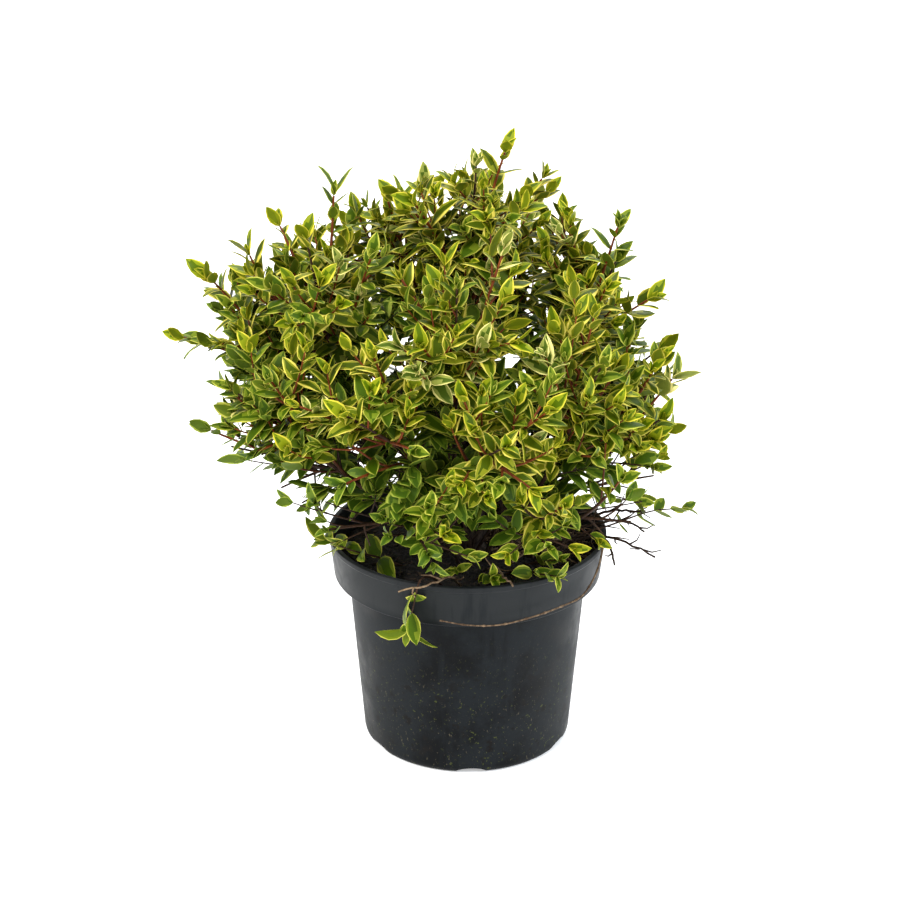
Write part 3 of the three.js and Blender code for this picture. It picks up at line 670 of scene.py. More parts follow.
# Canes
# Nine woody canes fan out of the stool. Each runs to the middle of its three masses of foliage, whose
# ways are evened out as shoots that grow to the light are. Their bark is ribbed, with a knot here
# and there where a twig has dropped.
DEG = math.pi / 180
UP = Vector((0, 0, 1))
GOLDEN_ANGLE = 137.508
CANE_COUNT = 9
CANE_STEEPEST = 0.97
CANE_FLATTEST = 0.4
CANE_FIRST_AZIMUTH = 122
CANE_FOOT_RADIUS = 3.6
CANE_TIP_RADIUS = 2.2
CANE_SHARE = 0.42
CANE_ARCH = 0.09
CANE_ROWS = 46
CANE_SIDES = 14
CANE_RIB = 0.32
CANE_FROM_INSIDE = 0.7
CANE_KNOT_PROUD = 0.35
CANE_KNOT_ROWS = 11
KNOT_SHORTNESS = 12
CANE_SEED_STEP = 7.3
MASS_SPREAD = 16
MASS_LOWEST = 18
MASS_PLACES = ((90, 1), (330, 0.84), (210, 0.68))
EVEN_ROUNDS = 60
EVEN_PUSH = 0.0003
EVEN_POWER = 6
EVEN_MOST = 0.05
# The foliage's reach to the right and the left, for each step of elevation
REACH_EVERY = 15
REACH_RIGHT = (120, 172, 192, 232, 248, 302, 322)
REACH_LEFT = (100, 155, 255, 292, 300, 296, 322)


def bearing(azimuth, elevation):
    """The direction of an azimuth and an elevation in degrees."""
    level = math.cos(elevation * DEG)
    x = level * math.cos(azimuth * DEG)
    y = level * math.sin(azimuth * DEG)
    return Vector((x, y, math.sin(elevation * DEG)))


def across_from(way):
    """Two directions square to the way and to each other: one level, one rising."""
    level = UP.cross(way)
    if level.length < 0.05:
        level = Vector((1, 0, 0))
    level.normalize()
    return level, way.cross(level).normalized()


def tilted(way, angle, turn):
    """The direction that is angle degrees off the way, on the side that turn gives."""
    level, rise = across_from(way)
    side = level * math.cos(turn * DEG) + rise * math.sin(turn * DEG)
    return way * math.cos(angle * DEG) + side * math.sin(angle * DEG)


def reach(way):
    """How far the foliage reaches from the heart in a direction."""
    place = max(0.0, math.asin(min(1.0, way.z)) / DEG / REACH_EVERY)
    step = min(int(place), len(REACH_RIGHT) - 2)
    on = place - step
    right = REACH_RIGHT[step] + (REACH_RIGHT[step + 1] - REACH_RIGHT[step]) * on
    left = REACH_LEFT[step] + (REACH_LEFT[step + 1] - REACH_LEFT[step]) * on
    side = way.x / max(1e-6, math.hypot(way.x, way.y))
    return left + (right - left) * (1 + side) / 2


masses = []
for cane in range(CANE_COUNT):
    height = CANE_STEEPEST + (CANE_FLATTEST - CANE_STEEPEST) * cane / (CANE_COUNT - 1)
    way = bearing(CANE_FIRST_AZIMUTH + cane * GOLDEN_ANGLE, math.asin(height) / DEG)
    for number, (turn, share) in enumerate(MASS_PLACES):
        mass_way = tilted(way, MASS_SPREAD, turn)
        masses.append({"seed": 100 * (cane + 1) + number, "cane": cane, "share": share, "way": mass_way})
for _ in range(EVEN_ROUNDS):
    pushes = []
    for mass in masses:
        push = Vector((0, 0, 0))
        for other in masses:
            off = mass["way"] - other["way"]
            if off.length > 0:
                push += off * EVEN_PUSH / off.length**EVEN_POWER
        pushes.append(push)
    for mass, push in zip(masses, pushes):
        if push.length > EVEN_MOST:
            push = push.normalized() * EVEN_MOST
        way = (mass["way"] + push).normalized()
        if way.z < math.sin(MASS_LOWEST * DEG):
            level = math.hypot(way.x, way.y)
            way *= math.cos(MASS_LOWEST * DEG) / level
            way.z = math.sin(MASS_LOWEST * DEG)
        mass["way"] = way

cane_ways = []
for cane in range(CANE_COUNT):
    way = sum((mass["way"] for mass in masses if mass["cane"] == cane), Vector((0, 0, 0)))
    cane_ways.append(way.normalized())
canes = []
for way in cane_ways:
    far = CANE_SHARE * reach(way)
    foot = HEART + way * (STOOL_HEAD_RADIUS + GAP)
    tip = HEART + way * far
    bow = (foot + tip) / 2 + UP * CANE_ARCH * far * (1 - way.z)
    canes.append((foot, bow, tip))


def swept(path, radii, sides, ribs, seed):
    """Corners in millimetres and faces of a closed limb along a path, ribbed along its length."""
    corners = []
    faces = []
    side_way = None
    for row, point in enumerate(path):
        ahead = path[min(row + 1, len(path) - 1)] - path[max(row - 1, 0)]
        ahead.normalize()
        if side_way is None:
            side_way = across_from(ahead)[0]
        side_way = (side_way - ahead * side_way.dot(ahead)).normalized()
        other_way = ahead.cross(side_way)
        for side in range(sides):
            angle = 2 * math.pi * side / sides
            rough = noise.noise(Vector((2.6 * math.cos(angle), 2.6 * math.sin(angle), 0.22 * row + seed)))
            radius = radii[row] * (1 + ribs * rough)
            corner = point + side_way * radius * math.cos(angle)
            corners.append(corner + other_way * radius * math.sin(angle))
    rows = len(path)
    for row in range(rows - 1):
        for side in range(sides):
            beside = (side + 1) % sides
            low = row * sides
            high = low + sides
            faces.append((low + side, low + beside, high + beside, high + side))
    faces.append(tuple(reversed(range(sides))))
    faces.append(tuple((rows - 1) * sides + side for side in range(sides)))
    return corners, faces


cane_corners = []
cane_faces = []
for number, (foot, bow, tip) in enumerate(canes):
    path = [HEART + (foot - HEART) * CANE_FROM_INSIDE, *bent(foot, bow, tip, CANE_ROWS)]
    radii = []
    for row in range(len(path)):
        along = row / (len(path) - 1)
        wave = math.cos(row * 2 * math.pi / CANE_KNOT_ROWS + number)
        knot = CANE_KNOT_PROUD * max(0.0, wave) ** KNOT_SHORTNESS
        radii.append(CANE_FOOT_RADIUS + (CANE_TIP_RADIUS - CANE_FOOT_RADIUS) * along + knot)
    corners, faces = swept(path, radii, CANE_SIDES, CANE_RIB, number * CANE_SEED_STEP)
    cane_faces += [[len(cane_corners) + corner for corner in face] for face in faces]
    cane_corners += [corner * MM for corner in corners]
cane_bark = mesh_object("cane_bark", cane_corners, cane_faces)
smooth_to(cane_bark, 50)
cane_bark.data.materials.append(old_bark)
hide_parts(*[f"cane_{number + 1}" for number in range(CANE_COUNT)])
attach(cane_bark, "root")

# Shoots
# Each mass has one stem from its cane, with side shoots in crossed pairs and a few long leaders that
# stand out of the crown. Finer twigs carry this on to the leaves. Young wood is red-brown, and the
# inside of the crown is old, dark and bare. Each leader has its azimuth, elevation and reach.
LEADERS = (
    (0, 85, 338),
    (8, 73, 290),
    (356, 66, 304),
    (3, 54, 262),
    (358, 39.5, 231),
    (5, 26.5, 202),
    (180, 79, 306),
    (186, 70, 324),
    (176, 60, 315),
    (183, 47.5, 318),
    (178, 36, 300),
    (184, 24.5, 246),
    (176, 17.5, 210),
)
LOW_SLOPE = 0.14
STEM_OVER = 0.08
STEM_BEND = (0.4, 0.1)
SHOOT_TURN = 20
SHOOT_SPREAD = 16
SHOOT_SPREAD_LEAST = 3
SHOOT_NARROWS = 0.9
SHOOT_REACH = (0.94, 0.1)
SHOOT_PLACES = (0.34, 0.24, 0.05)
LEADER_PLACE = 0.5
LEADER_BARE = 26
TIP_MARGIN = 13
TIP_SPACE = 19
STEM_RADII = (2.0, 0.8)
SHOOT_RADII = (1.5, 0.85)
LOW_SHOOT_RADII = (1.0, 0.5)
BROWN_BELOW = 86
TWIG_RADII = (1.0, 0.55)
TWIG_LONG = (22, 54)
TWIG_GAP = 21
TWIG_ANGLE = (32, 54)
TWIG_SCATTER = 30
TWIG_BARE = 12
TWIG_FROM = 0.42
TWIG_SHORT_OF_REACH = 15
TWIG_KEPT = 0.86
TWIGS_THIN_BELOW = 110
TWIG_FROM_LOW = 0.24
TWIG_LESS_LOW = 0.45
TWIG_LIFT = 0.3
CELL_MIX = -18
# The slope of the crown's leafy underside at each azimuth
UNDERSIDE_SLOPES = {
    0: 0.44,
    60: 0.3,
    120: 0.3,
    180: 0.48,
    225: 0.58,
    258: 0.24,
    285: 0.24,
    315: 0.54,
    360: 0.44,
}
TWIGS_LEFT_BELOW = 0.16
# Each opening's middle, and half its width and height
OPENINGS = (((-41, -100, 289), 61, 18), ((100, -100, 273), 36, 19), ((-118, -100, 270), 25, 17))
OPENING_FALL = 0.4
OPENING_BARE = 0.86
FINE_SEED = 5000
BARE_TWIG_GAP = 8
BARE_TWIG_LONG = (22, 66)
BARE_TWIGS_TO = 0.66
BARE_TWIG_REACH = 0.72
BARE_TWIG_RADII = (0.85, 0.35)


def dice(seed):
    """Repeatable random numbers from 0 to 1, a run of its own for each seed."""
    whole = 0xFFFFFFFF
    state = seed & whole

    def roll():
        nonlocal state
        state = (state + 0x6D2B79F5) & whole
        t = ((state ^ (state >> 15)) * (state | 1)) & whole
        t = (t ^ (t + (((t ^ (t >> 7)) * (t | 61)) & whole))) & whole
        return ((t ^ (t >> 14)) & whole) / (whole + 1)

    return roll


def between(low_high, share):
    return low_high[0] + (low_high[1] - low_high[0]) * share


def in_cell(mass, point, margin):
    """Whether a point lies in a mass's own cone of space, margin inside its walls."""
    off = point - HEART
    if off.z < LOW_SLOPE * math.hypot(off.x, off.y) + margin:
        return False
    for other in masses:
        if other is mass:
            continue
        wall = mass["way"] - other["way"]
        if off.dot(wall) <= margin * wall.length:
            return False
    return True


def tip_at(way, far):
    return HEART + way * (far - TIP_SPACE)


def length_of(path):
    return sum((b - a).length for a, b in zip(path, path[1:]))


def at_length(path, far):
    """The point that far along a path, and the way it runs there."""
    for a, b in zip(path, path[1:]):
        step = (b - a).length
        if far <= step:
            return a.lerp(b, far / max(step, 1e-6)), (b - a).normalized()
        far -= step
    return path[-1].copy(), (path[-1] - path[-2]).normalized()


def underside(point):
    """How far a point stands over the crown's leafy underside, which rises to each side of the front."""
    azimuth = math.degrees(math.atan2(point.y, point.x)) % 360
    stops = list(UNDERSIDE_SLOPES.items())
    for (low, slope), (high, next_slope) in zip(stops, stops[1:]):
        if azimuth <= high:
            slope += (next_slope - slope) * (azimuth - low) / (high - low)
            return point.z - HEART.z - slope * math.hypot(point.x, point.y)
    return 0.0


def in_opening(point):
    """Whether a point lies where the crown is open from front to back and its bare stems show."""
    for (x, y, z), half_wide, half_high in OPENINGS:
        up = point.z - z + OPENING_FALL * (point.y - y)
        if ((point.x - x) / half_wide) ** 2 + (up / half_high) ** 2 < 1:
            return True
    return False


for mass in masses:
    mass["root"] = on_curve(*canes[mass["cane"]], mass["share"])
    mass["leaders"] = []
for azimuth, elevation, far in LEADERS:
    way = bearing(azimuth, elevation)
    nearest = max(masses, key=lambda mass: mass["way"].dot(way))
    nearest["leaders"].append((way, far))

# Every living shoot with its path, its radii and its order: 1 for a stem, 2 for a shoot, 3 for a twig
shoots = []
bare_twigs = []
for mass in masses:
    roll = dice(mass["seed"])
    ends = tip_at(mass["way"], reach(mass["way"]) * (1 + STEM_OVER * roll()))
    bend = mass["root"].lerp(ends, STEM_BEND[0])
    bend += mass["way"] * STEM_BEND[1] * (ends - mass["root"]).length
    stem = bent(mass["root"], bend, ends, 12)
    turn = roll() * 90
    own = [{"path": stem, "radii": STEM_RADII, "order": 1}]
    for pair in range(2):
        for half in (0, 180):
            spread = SHOOT_SPREAD
            side = turn + 90 * pair + half + SHOOT_TURN * (roll() - 0.5)
            far = SHOOT_REACH[0] + SHOOT_REACH[1] * roll()
            way = tilted(mass["way"], spread, side)
            while spread > SHOOT_SPREAD_LEAST and not in_cell(mass, tip_at(way, reach(way)), TIP_MARGIN):
                spread *= SHOOT_NARROWS
                way = tilted(mass["way"], spread, side)
            first, following, stagger = SHOOT_PLACES
            start = first + following * pair + (stagger if half else 0)
            own.append({"start": start, "tip": tip_at(way, reach(way) * far)})
    for way, far in mass["leaders"]:
        own.append({"start": LEADER_PLACE, "tip": tip_at(way, far), "leader": True})
    fine = dice(mass["seed"] + FINE_SEED)
    for shoot in own[1:]:
        root, ahead = at_length(stem, shoot["start"] * length_of(stem))
        bend = root.lerp(shoot["tip"], 0.45) + ahead * 0.08 * (shoot["tip"] - root).length
        shoot["path"] = bent(root, bend, shoot["tip"], 10)
        shoot["radii"] = SHOOT_RADII
        shoot["order"] = 2
    for shoot in list(own):
        length = length_of(shoot["path"])
        turn = 90 * fine()
        far = TWIG_GAP * (0.5 + 0.5 * fine()) + (LEADER_BARE if "leader" in shoot else TWIG_BARE)
        pair = 0
        while far < length:
            root, ahead = at_length(shoot["path"], length - far)
            share = (root - HEART).length / reach(mass["way"])
            low = max(0.0, 1 - (root.z - HEART.z) / TWIGS_THIN_BELOW)
            for half in (0, 180):
                side = turn + 90 * pair + half + TWIG_SCATTER * (fine() - 0.5)
                angle = between(TWIG_ANGLE, fine())
                long = between(TWIG_LONG, fine()) * min(1.0, 0.4 + far / 70)
                keep = fine()
                if share < TWIG_FROM + TWIG_FROM_LOW * low or keep > TWIG_KEPT - TWIG_LESS_LOW * low:
                    continue
                way = tilted(ahead, angle, side)
                tip = root + way * long + UP * TWIG_LIFT * long
                out = tip - HEART
                if out.length > reach(out.normalized()) - TWIG_SHORT_OF_REACH:
                    continue
                if underside(tip) < 0 and fine() > TWIGS_LEFT_BELOW:
                    continue
                if in_opening(tip) or not in_cell(mass, tip, CELL_MIX):
                    continue
                twig = bent(root, root + way * long * 0.55, tip, 5)
                own.append({"path": twig, "radii": TWIG_RADII, "order": 3})
            pair += 1
            far += TWIG_GAP * (0.8 + 0.4 * fine())
    for shoot in own:
        shoot["mass"] = mass
        shoot["brown"] = shoot["order"] == 1 or shoot["path"][-1].z - HEART.z < BROWN_BELOW
        if shoot["brown"] and shoot["order"] == 2:
            shoot["radii"] = LOW_SHOOT_RADII
        shoots.append(shoot)
    # Old bare twigs on the inner wood, thin and crooked, most of them broken short
    wood = [bent(*canes[mass["cane"]], 8), stem] + [shoot["path"] for shoot in own[1:5]]
    for path in wood:
        far = 6 + 10 * fine()
        while far < length_of(path) * BARE_TWIGS_TO:
            root, ahead = at_length(path, far)
            way = tilted(ahead, 34 + 40 * fine(), 360 * fine())
            long = between(BARE_TWIG_LONG, fine() ** 1.6)
            knee = root + way * long * 0.5 + UP * 6 * (fine() - 0.4)
            tip = knee + (way + ahead * 0.5 + tilted(way, 90, 360 * fine()) * 0.35).normalized() * long * 0.5
            most = BARE_TWIG_REACH * reach((tip - HEART).normalized())
            if in_cell(mass, tip, CELL_MIX * 3) and (tip - HEART).length < most:
                bare_twigs.append({"path": bent(root, knee, tip, 4), "radii": BARE_TWIG_RADII})
            far += BARE_TWIG_GAP * (0.6 + 0.8 * fine())

# Leaves
# Opposite pairs, each turned a right angle from the last: pointed ovals about 30 mm long, dark green in
# the middle with grey-green flecks, and a ragged cream or yellow edge. The youngest stand upright
# round each tip. Undersides are paler. A leaf's stations are shares of its length.
LEAF_STATIONS = (0, 0.12, 0.34, 0.6, 0.83, 1)
LEAF_HALF_WIDTHS = (0, 0.6, 1, 0.93, 0.55, 0)
LEAF_HALF_WIDE = 0.245
LEAF_THICK = 0.014
LEAF_LONG = (16, 30)
LEAF_GAP = 12
TIP_LEAF_LONG = (15, 23)
TIP_BUD_LONG = (8, 14)
OPEN_TIP = 15
SMALLER_NEAR_TIP = (0.78, 0.9, 0.97)
MATURE_KINDS = 18
YOUNG_KINDS = 6
LEAF_KIND_SEED = 31
YOUNG_EDGE = 0.17
LEAST_EDGE = 0.1
EDGE_MORE = 0.24
MOTTLED = 0.22
LEAVES_LEFT_BELOW = 0.36
SPRAYS_LEFT_BELOW = 0.4
LEAVES_START = {1: 0.5, 2: 0.35, 3: 0.12}
LEAVES_START_LOW = 0.15
THIN_BELOW = 150
THIN_LOW = 0.54
THIN_MORE_ASIDE = 0.6
LEADER_LEAF_GAP = 15
LEADER_LEAF_LARGER = 1.18
LEADER_OPEN_TIP = 19
LEADER_SPIN = 36
CROWN_HIGH = 300
CREAM_OVER = 0.4
# How bright a spray's place has to be for each mix, with the shares of gold, and of gold and pale, in it
SPRAY_MIXES = ((0.88, 0.62, 0.74), (0.68, 0.36, 0.43))
LIME_OVER = 0.68
LIME_SHARE = 0.62
SMALLER_LOW = 0.26
LEVEL_SHOOT = 0.4
INNER_LEAVES_OVER = 50
INNER_LEAVES = 7
ZONES = {"middle": 0, "streak": 1, "edge": 2, "under": 3}


def leaf_kind(name, roll, young, edge_share):
    """One leaf a metre long, root at the origin, along +X and facing +Z, with a zone on each face."""
    fold = (0.24 if young else 0.08) + 0.22 * roll()
    curl = 0.4 * fold + 0.35 * roll()
    droop = (0.0 if young else 0.06) + 0.26 * roll()
    lift = 0.09 * roll()
    twist = 0.8 * (roll() - 0.5)
    wide = LEAF_HALF_WIDE * (1.0 if young else 0.86 + 0.28 * roll())
    skew = 0.06 * (roll() - 0.5)
    side_shares = {side: edge_share * (0.55 + 0.9 * roll()) for side in (-1, 1)}
    points = []
    rows = []
    for t, width in zip(LEAF_STATIONS, LEAF_HALF_WIDTHS):
        rib = Vector((t, skew * math.sin(math.pi * t), lift * math.sin(math.pi * t) - droop * t * t))
        rows.append({"rib": len(points)})
        points.append(rib)
        if width == 0:
            continue
        rows[-1]["rib_below"] = len(points)
        points.append(rib - Vector((0, 0, LEAF_THICK)))
        turn = twist * t
        for side in (-1, 1):
            inner = 1 - side_shares[side] * (0.25 + 1.5 * roll())
            for part, share in (("streak", inner * (0.3 + 0.6 * roll())), ("edge", inner), ("rim", 1)):
                y = width * wide * share
                z = y * fold - curl * y * y / LEAF_HALF_WIDE
                turned_y = side * y * math.cos(turn) - z * math.sin(turn)
                turned_z = side * y * math.sin(turn) + z * math.cos(turn)
                rows[-1][part, side] = len(points)
                points.append(rib + Vector((0, turned_y, turned_z)))
                if part != "rim":
                    rows[-1][part + "_below", side] = len(points)
                    points.append(points[-1] - Vector((0, 0, LEAF_THICK)))
    strips = (
        ("rib", "streak", "middle"),
        ("streak", "edge", "streak"),
        ("edge", "rim", "edge"),
        ("rim", "edge_below", "edge"),
        ("edge_below", "streak_below", "streak"),
        ("streak_below", "rib_below", "under"),
    )
    faces = []
    zones = []
    for low, high in zip(rows, rows[1:]):
        for side in (-1, 1):
            for first, last, zone in strips:
                corners = []
                for row, part in ((low, first), (high, first), (high, last), (low, last)):
                    corner = row.get((part, side), row.get(part, row["rib"]))
                    if corner not in corners:
                        corners.append(corner)
                if len(corners) < 3:
                    continue
                if side > 0:
                    corners.reverse()
                faces.append(tuple(corners[::-1]))
                mottled = roll() < MOTTLED and zone == "middle"
                zones.append(ZONES["streak" if mottled else zone])
    mesh = bpy.data.meshes.new(name)
    mesh.from_pydata([tuple(point) for point in points], [], faces)
    mesh.attributes.new("zone", "INT", "FACE").data.foreach_set("value", zones)
    kind = bpy.data.objects.new(name, mesh)
    smooth_to(kind, 75)
    return kind


leaf_kinds = bpy.data.collections.new("leaf_kinds")
kind_roll = dice(LEAF_KIND_SEED)
for number in range(MATURE_KINDS + YOUNG_KINDS):
    is_young = number >= MATURE_KINDS
    share = YOUNG_EDGE if is_young else LEAST_EDGE + EDGE_MORE * (number % 4) / 3
    leaf_kinds.objects.link(leaf_kind(f"kind_{number:02d}", kind_roll, is_young, share))

leaf_inputs = {"Kinds": "Collection"}
for zone_name in ZONES:
    leaf_inputs[zone_name.capitalize()] = "Material"
leaf_tree, leaf_in, leaf_out = new_tree("leaves_on_points", leaf_inputs)
kinds = node_of(
    leaf_tree,
    "GeometryNodeCollectionInfo",
    {"Collection": leaf_in.outputs["Kinds"], "Separate Children": True, "Reset Children": True},
)


def named(tree, name, kind):
    node = node_of(tree, "GeometryNodeInputNamedAttribute", {"Name": name}, data_type=kind)
    return node.outputs["Attribute"]


leaf_turn = node_of(
    leaf_tree,
    "FunctionNodeAxesToRotation",
    {
        "Primary Axis": named(leaf_tree, "along", "FLOAT_VECTOR"),
        "Secondary Axis": named(leaf_tree, "facing", "FLOAT_VECTOR"),
    },
    primary_axis="X",
    secondary_axis="Z",
)
leaves_placed = node_of(
    leaf_tree,
    "GeometryNodeInstanceOnPoints",
    {
        "Points": leaf_in.outputs["Geometry"],
        "Instance": kinds.outputs[0],
        "Pick Instance": True,
        "Instance Index": named(leaf_tree, "kind", "INT"),
        "Rotation": leaf_turn.outputs[0],
        "Scale": named(leaf_tree, "long", "FLOAT"),
    },
)
leaf_stream = node_of(leaf_tree, "GeometryNodeRealizeInstances", {"Geometry": leaves_placed.outputs[0]})
leaf_zone = named(leaf_tree, "zone", "INT")
for zone_name, zone_number in ZONES.items():
    in_zone = node_of(
        leaf_tree,
        "FunctionNodeCompare",
        {2: leaf_zone, 3: zone_number},
        data_type="INT",
        operation="EQUAL",
    )
    values = {
        "Geometry": leaf_stream.outputs[0],
        "Selection": in_zone.outputs[0],
        "Material": leaf_in.outputs[zone_name.capitalize()],
    }
    leaf_stream = node_of(leaf_tree, "GeometryNodeSetMaterial", values)
leaf_tree.links.new(leaf_stream.outputs[0], leaf_out.inputs[0])

# Colours of each tone of spray: middle, streak, edge and underside
LEAF_TONES = {
    "gold": ((0.052, 0.08, 0.001), (0.2, 0.215, 0.01), (0.67, 0.565, 0.09), (0.125, 0.16, 0.01)),
    "cream": ((0.062, 0.102, 0.008), (0.25, 0.275, 0.05), (0.82, 0.72, 0.24), (0.2, 0.235, 0.035)),
    "green": ((0.044, 0.083, 0.002), (0.135, 0.18, 0.01), (0.49, 0.48, 0.07), (0.11, 0.155, 0.012)),
    "deep": ((0.042, 0.083, 0.005), (0.095, 0.15, 0.01), (0.33, 0.38, 0.05), (0.095, 0.145, 0.015)),
    "lime": ((0.068, 0.11, 0.001), (0.2, 0.235, 0.006), (0.58, 0.5, 0.04), (0.14, 0.175, 0.006)),
}
MOST_LEAVES = 2000
leaf_points = {tone: [] for tone in LEAF_TONES}


def add_leaf(tone, root, along, facing, long, kind):
    facing = facing - along * facing.dot(along)
    if facing.length < 1e-3:
        facing = across_from(along)[1]
    leaf_points[tone].append((root.copy(), along.copy(), facing.normalized(), long, kind))


def dress(path, roll, tone, young, bare, gap, largest, open_tip, below_too, thin=0.0, spin=360):
    """Leaves along a shoot from its tip back, in crossed pairs that open and grow away from it."""
    length = length_of(path)
    turn = spin * roll()
    tip, ahead = at_length(path, length)
    out = (tip - HEART).normalized()
    tip_long = between(TIP_LEAF_LONG, roll()) * largest
    for number in range(4):
        angle = 8 + 6 * roll() if number > 1 else open_tip + 14 * roll()
        along = tilted(ahead, angle, turn + 180 * number + 90 * (number > 1))
        long = tip_long if number < 2 else between(TIP_BUD_LONG, roll()) * largest
        kind = MATURE_KINDS + int(YOUNG_KINDS * roll())
        facing = ahead - along * 0.92 + out * 0.08 + tilted(along, 90, 360 * roll()) * 0.2
        add_leaf(young, tip, along, facing, long, kind)
    far = 6 + 4 * roll()
    pair = 0
    while far < length - bare:
        root, ahead = at_length(path, length - far)
        widest = 62 + 20 * (1 - abs(ahead.z))
        angle = min(widest, 32 + 14 * pair) + 12 * (roll() - 0.5)
        size = between(LEAF_LONG, roll() ** 1.25) * largest
        if pair < len(SMALLER_NEAR_TIP):
            size *= SMALLER_NEAR_TIP[pair]
        for half in (0, 180):
            side = turn + 90 * pair + half + 30 * (roll() - 0.5)
            if abs(ahead.z) < LEVEL_SHOOT:
                side = half + 70 * (roll() - 0.5)
            along = tilted(ahead, angle + 16 * (roll() - 0.5), side)
            facing = ahead * 0.6 + UP * 0.7 + out * 0.5
            facing += across_from(ahead)[0] * 0.7 * (roll() - 0.5)
            kind = int(MATURE_KINDS * roll())
            # Green and deep sprays take only the kinds with a narrow edge: the first two of each four
            if tone in ("green", "deep"):
                kind -= 2 * (kind % 4 // 2)
            leaf_size = size * (0.88 + 0.24 * roll())
            below = not below_too and underside(root + along * leaf_size) < 0
            if roll() < thin or below and roll() > LEAVES_LEFT_BELOW:
                continue
            if in_opening(root + along * leaf_size * 0.6) and roll() < OPENING_BARE:
                continue
            add_leaf(tone, root, along, facing, leaf_size, kind)
        pair += 1
        far += gap * min(1.0, 0.5 + 0.2 * pair) * (0.8 + 0.4 * roll())


def spray_tone(brightness, pick, height, aside):
    """The tone of a spray's leaves: paler where it is bright, and deeper on the shaded left."""
    pale = "cream" if height > CREAM_OVER else "gold"
    for least, gold_share, pale_share in SPRAY_MIXES:
        if brightness > least:
            return "gold" if pick < gold_share else pale if pick < pale_share else "green"
    return "green" if pick < 0.5 + 0.35 * aside else "deep"


for shoot in shoots:
    tip = shoot["path"][-1]
    seed = int(1e3 * abs(tip.x * 7 + tip.y * 13 + tip.z * 3)) + shoot["mass"]["seed"]
    leaf_roll = dice(seed)
    way = (tip - HEART).normalized()
    out = (tip - HEART).length / reach(way)
    height = (tip.z - HEART.z) / CROWN_HIGH
    lit = 0.34 * max(0.0, -way.y) ** 2 + 0.2 * way.x
    brightness = 0.3 * out + 0.95 * height + lit + 0.3 * (leaf_roll() - 0.5)
    pick = leaf_roll()
    tone = spray_tone(brightness, pick, height, way.x)
    leads = "leader" in shoot
    shoot["bare_below"] = not leads and underside(tip) < 0 and leaf_roll() > SPRAYS_LEFT_BELOW
    if shoot["bare_below"]:
        continue
    low = max(0.0, 1 - (tip.z - HEART.z) / THIN_BELOW)
    bare = LEAVES_START[shoot["order"]] + (LEAVES_START_LOW * low if shoot["order"] == 2 else 0)
    dress(
        shoot["path"],
        leaf_roll,
        tone,
        "lime" if brightness > LIME_OVER and pick < LIME_SHARE else tone,
        bare * length_of(shoot["path"]),
        LEADER_LEAF_GAP if leads else LEAF_GAP,
        LEADER_LEAF_LARGER if leads else 1 - SMALLER_LOW * low,
        LEADER_OPEN_TIP if leads else OPEN_TIP,
        below_too=leads,
        thin=THIN_LOW * low * (1 + THIN_MORE_ASIDE * abs(way.x)),
        spin=LEADER_SPIN if leads else 360,
    )

# A few leaves hang on inside the upper crown, dark green for want of light
for twig in bare_twigs:
    tip = twig["path"][-1]
    inner_roll = dice(int(1e3 * abs(tip.x * 5 + tip.y * 11 + tip.z * 3)))
    if tip.z - HEART.z < INNER_LEAVES_OVER:
        continue
    for _ in range(INNER_LEAVES):
        root, ahead = at_length(twig["path"], length_of(twig["path"]) * (0.5 + 0.5 * inner_roll()))
        along = tilted(ahead, 30 + 40 * inner_roll(), 360 * inner_roll())
        long = between(LEAF_LONG, inner_roll())
        add_leaf("deep", root, along, UP + along, long, int(MATURE_KINDS * inner_roll()))

# Low sprays
# Thin suckers that come up through the compost and sprawl over the rim, most of them at the front.
# Nearly all of their leaves are green, and their stems are brown.
OVER_RIM = 185
IN_COMPOST = 157
LOW_RADII = (1.1, 0.5)
LOW_SEED = 900
LOW_SEED_STEP = 17
LOW_OPEN_TIP = 16
LOW_GREEN = 0.96
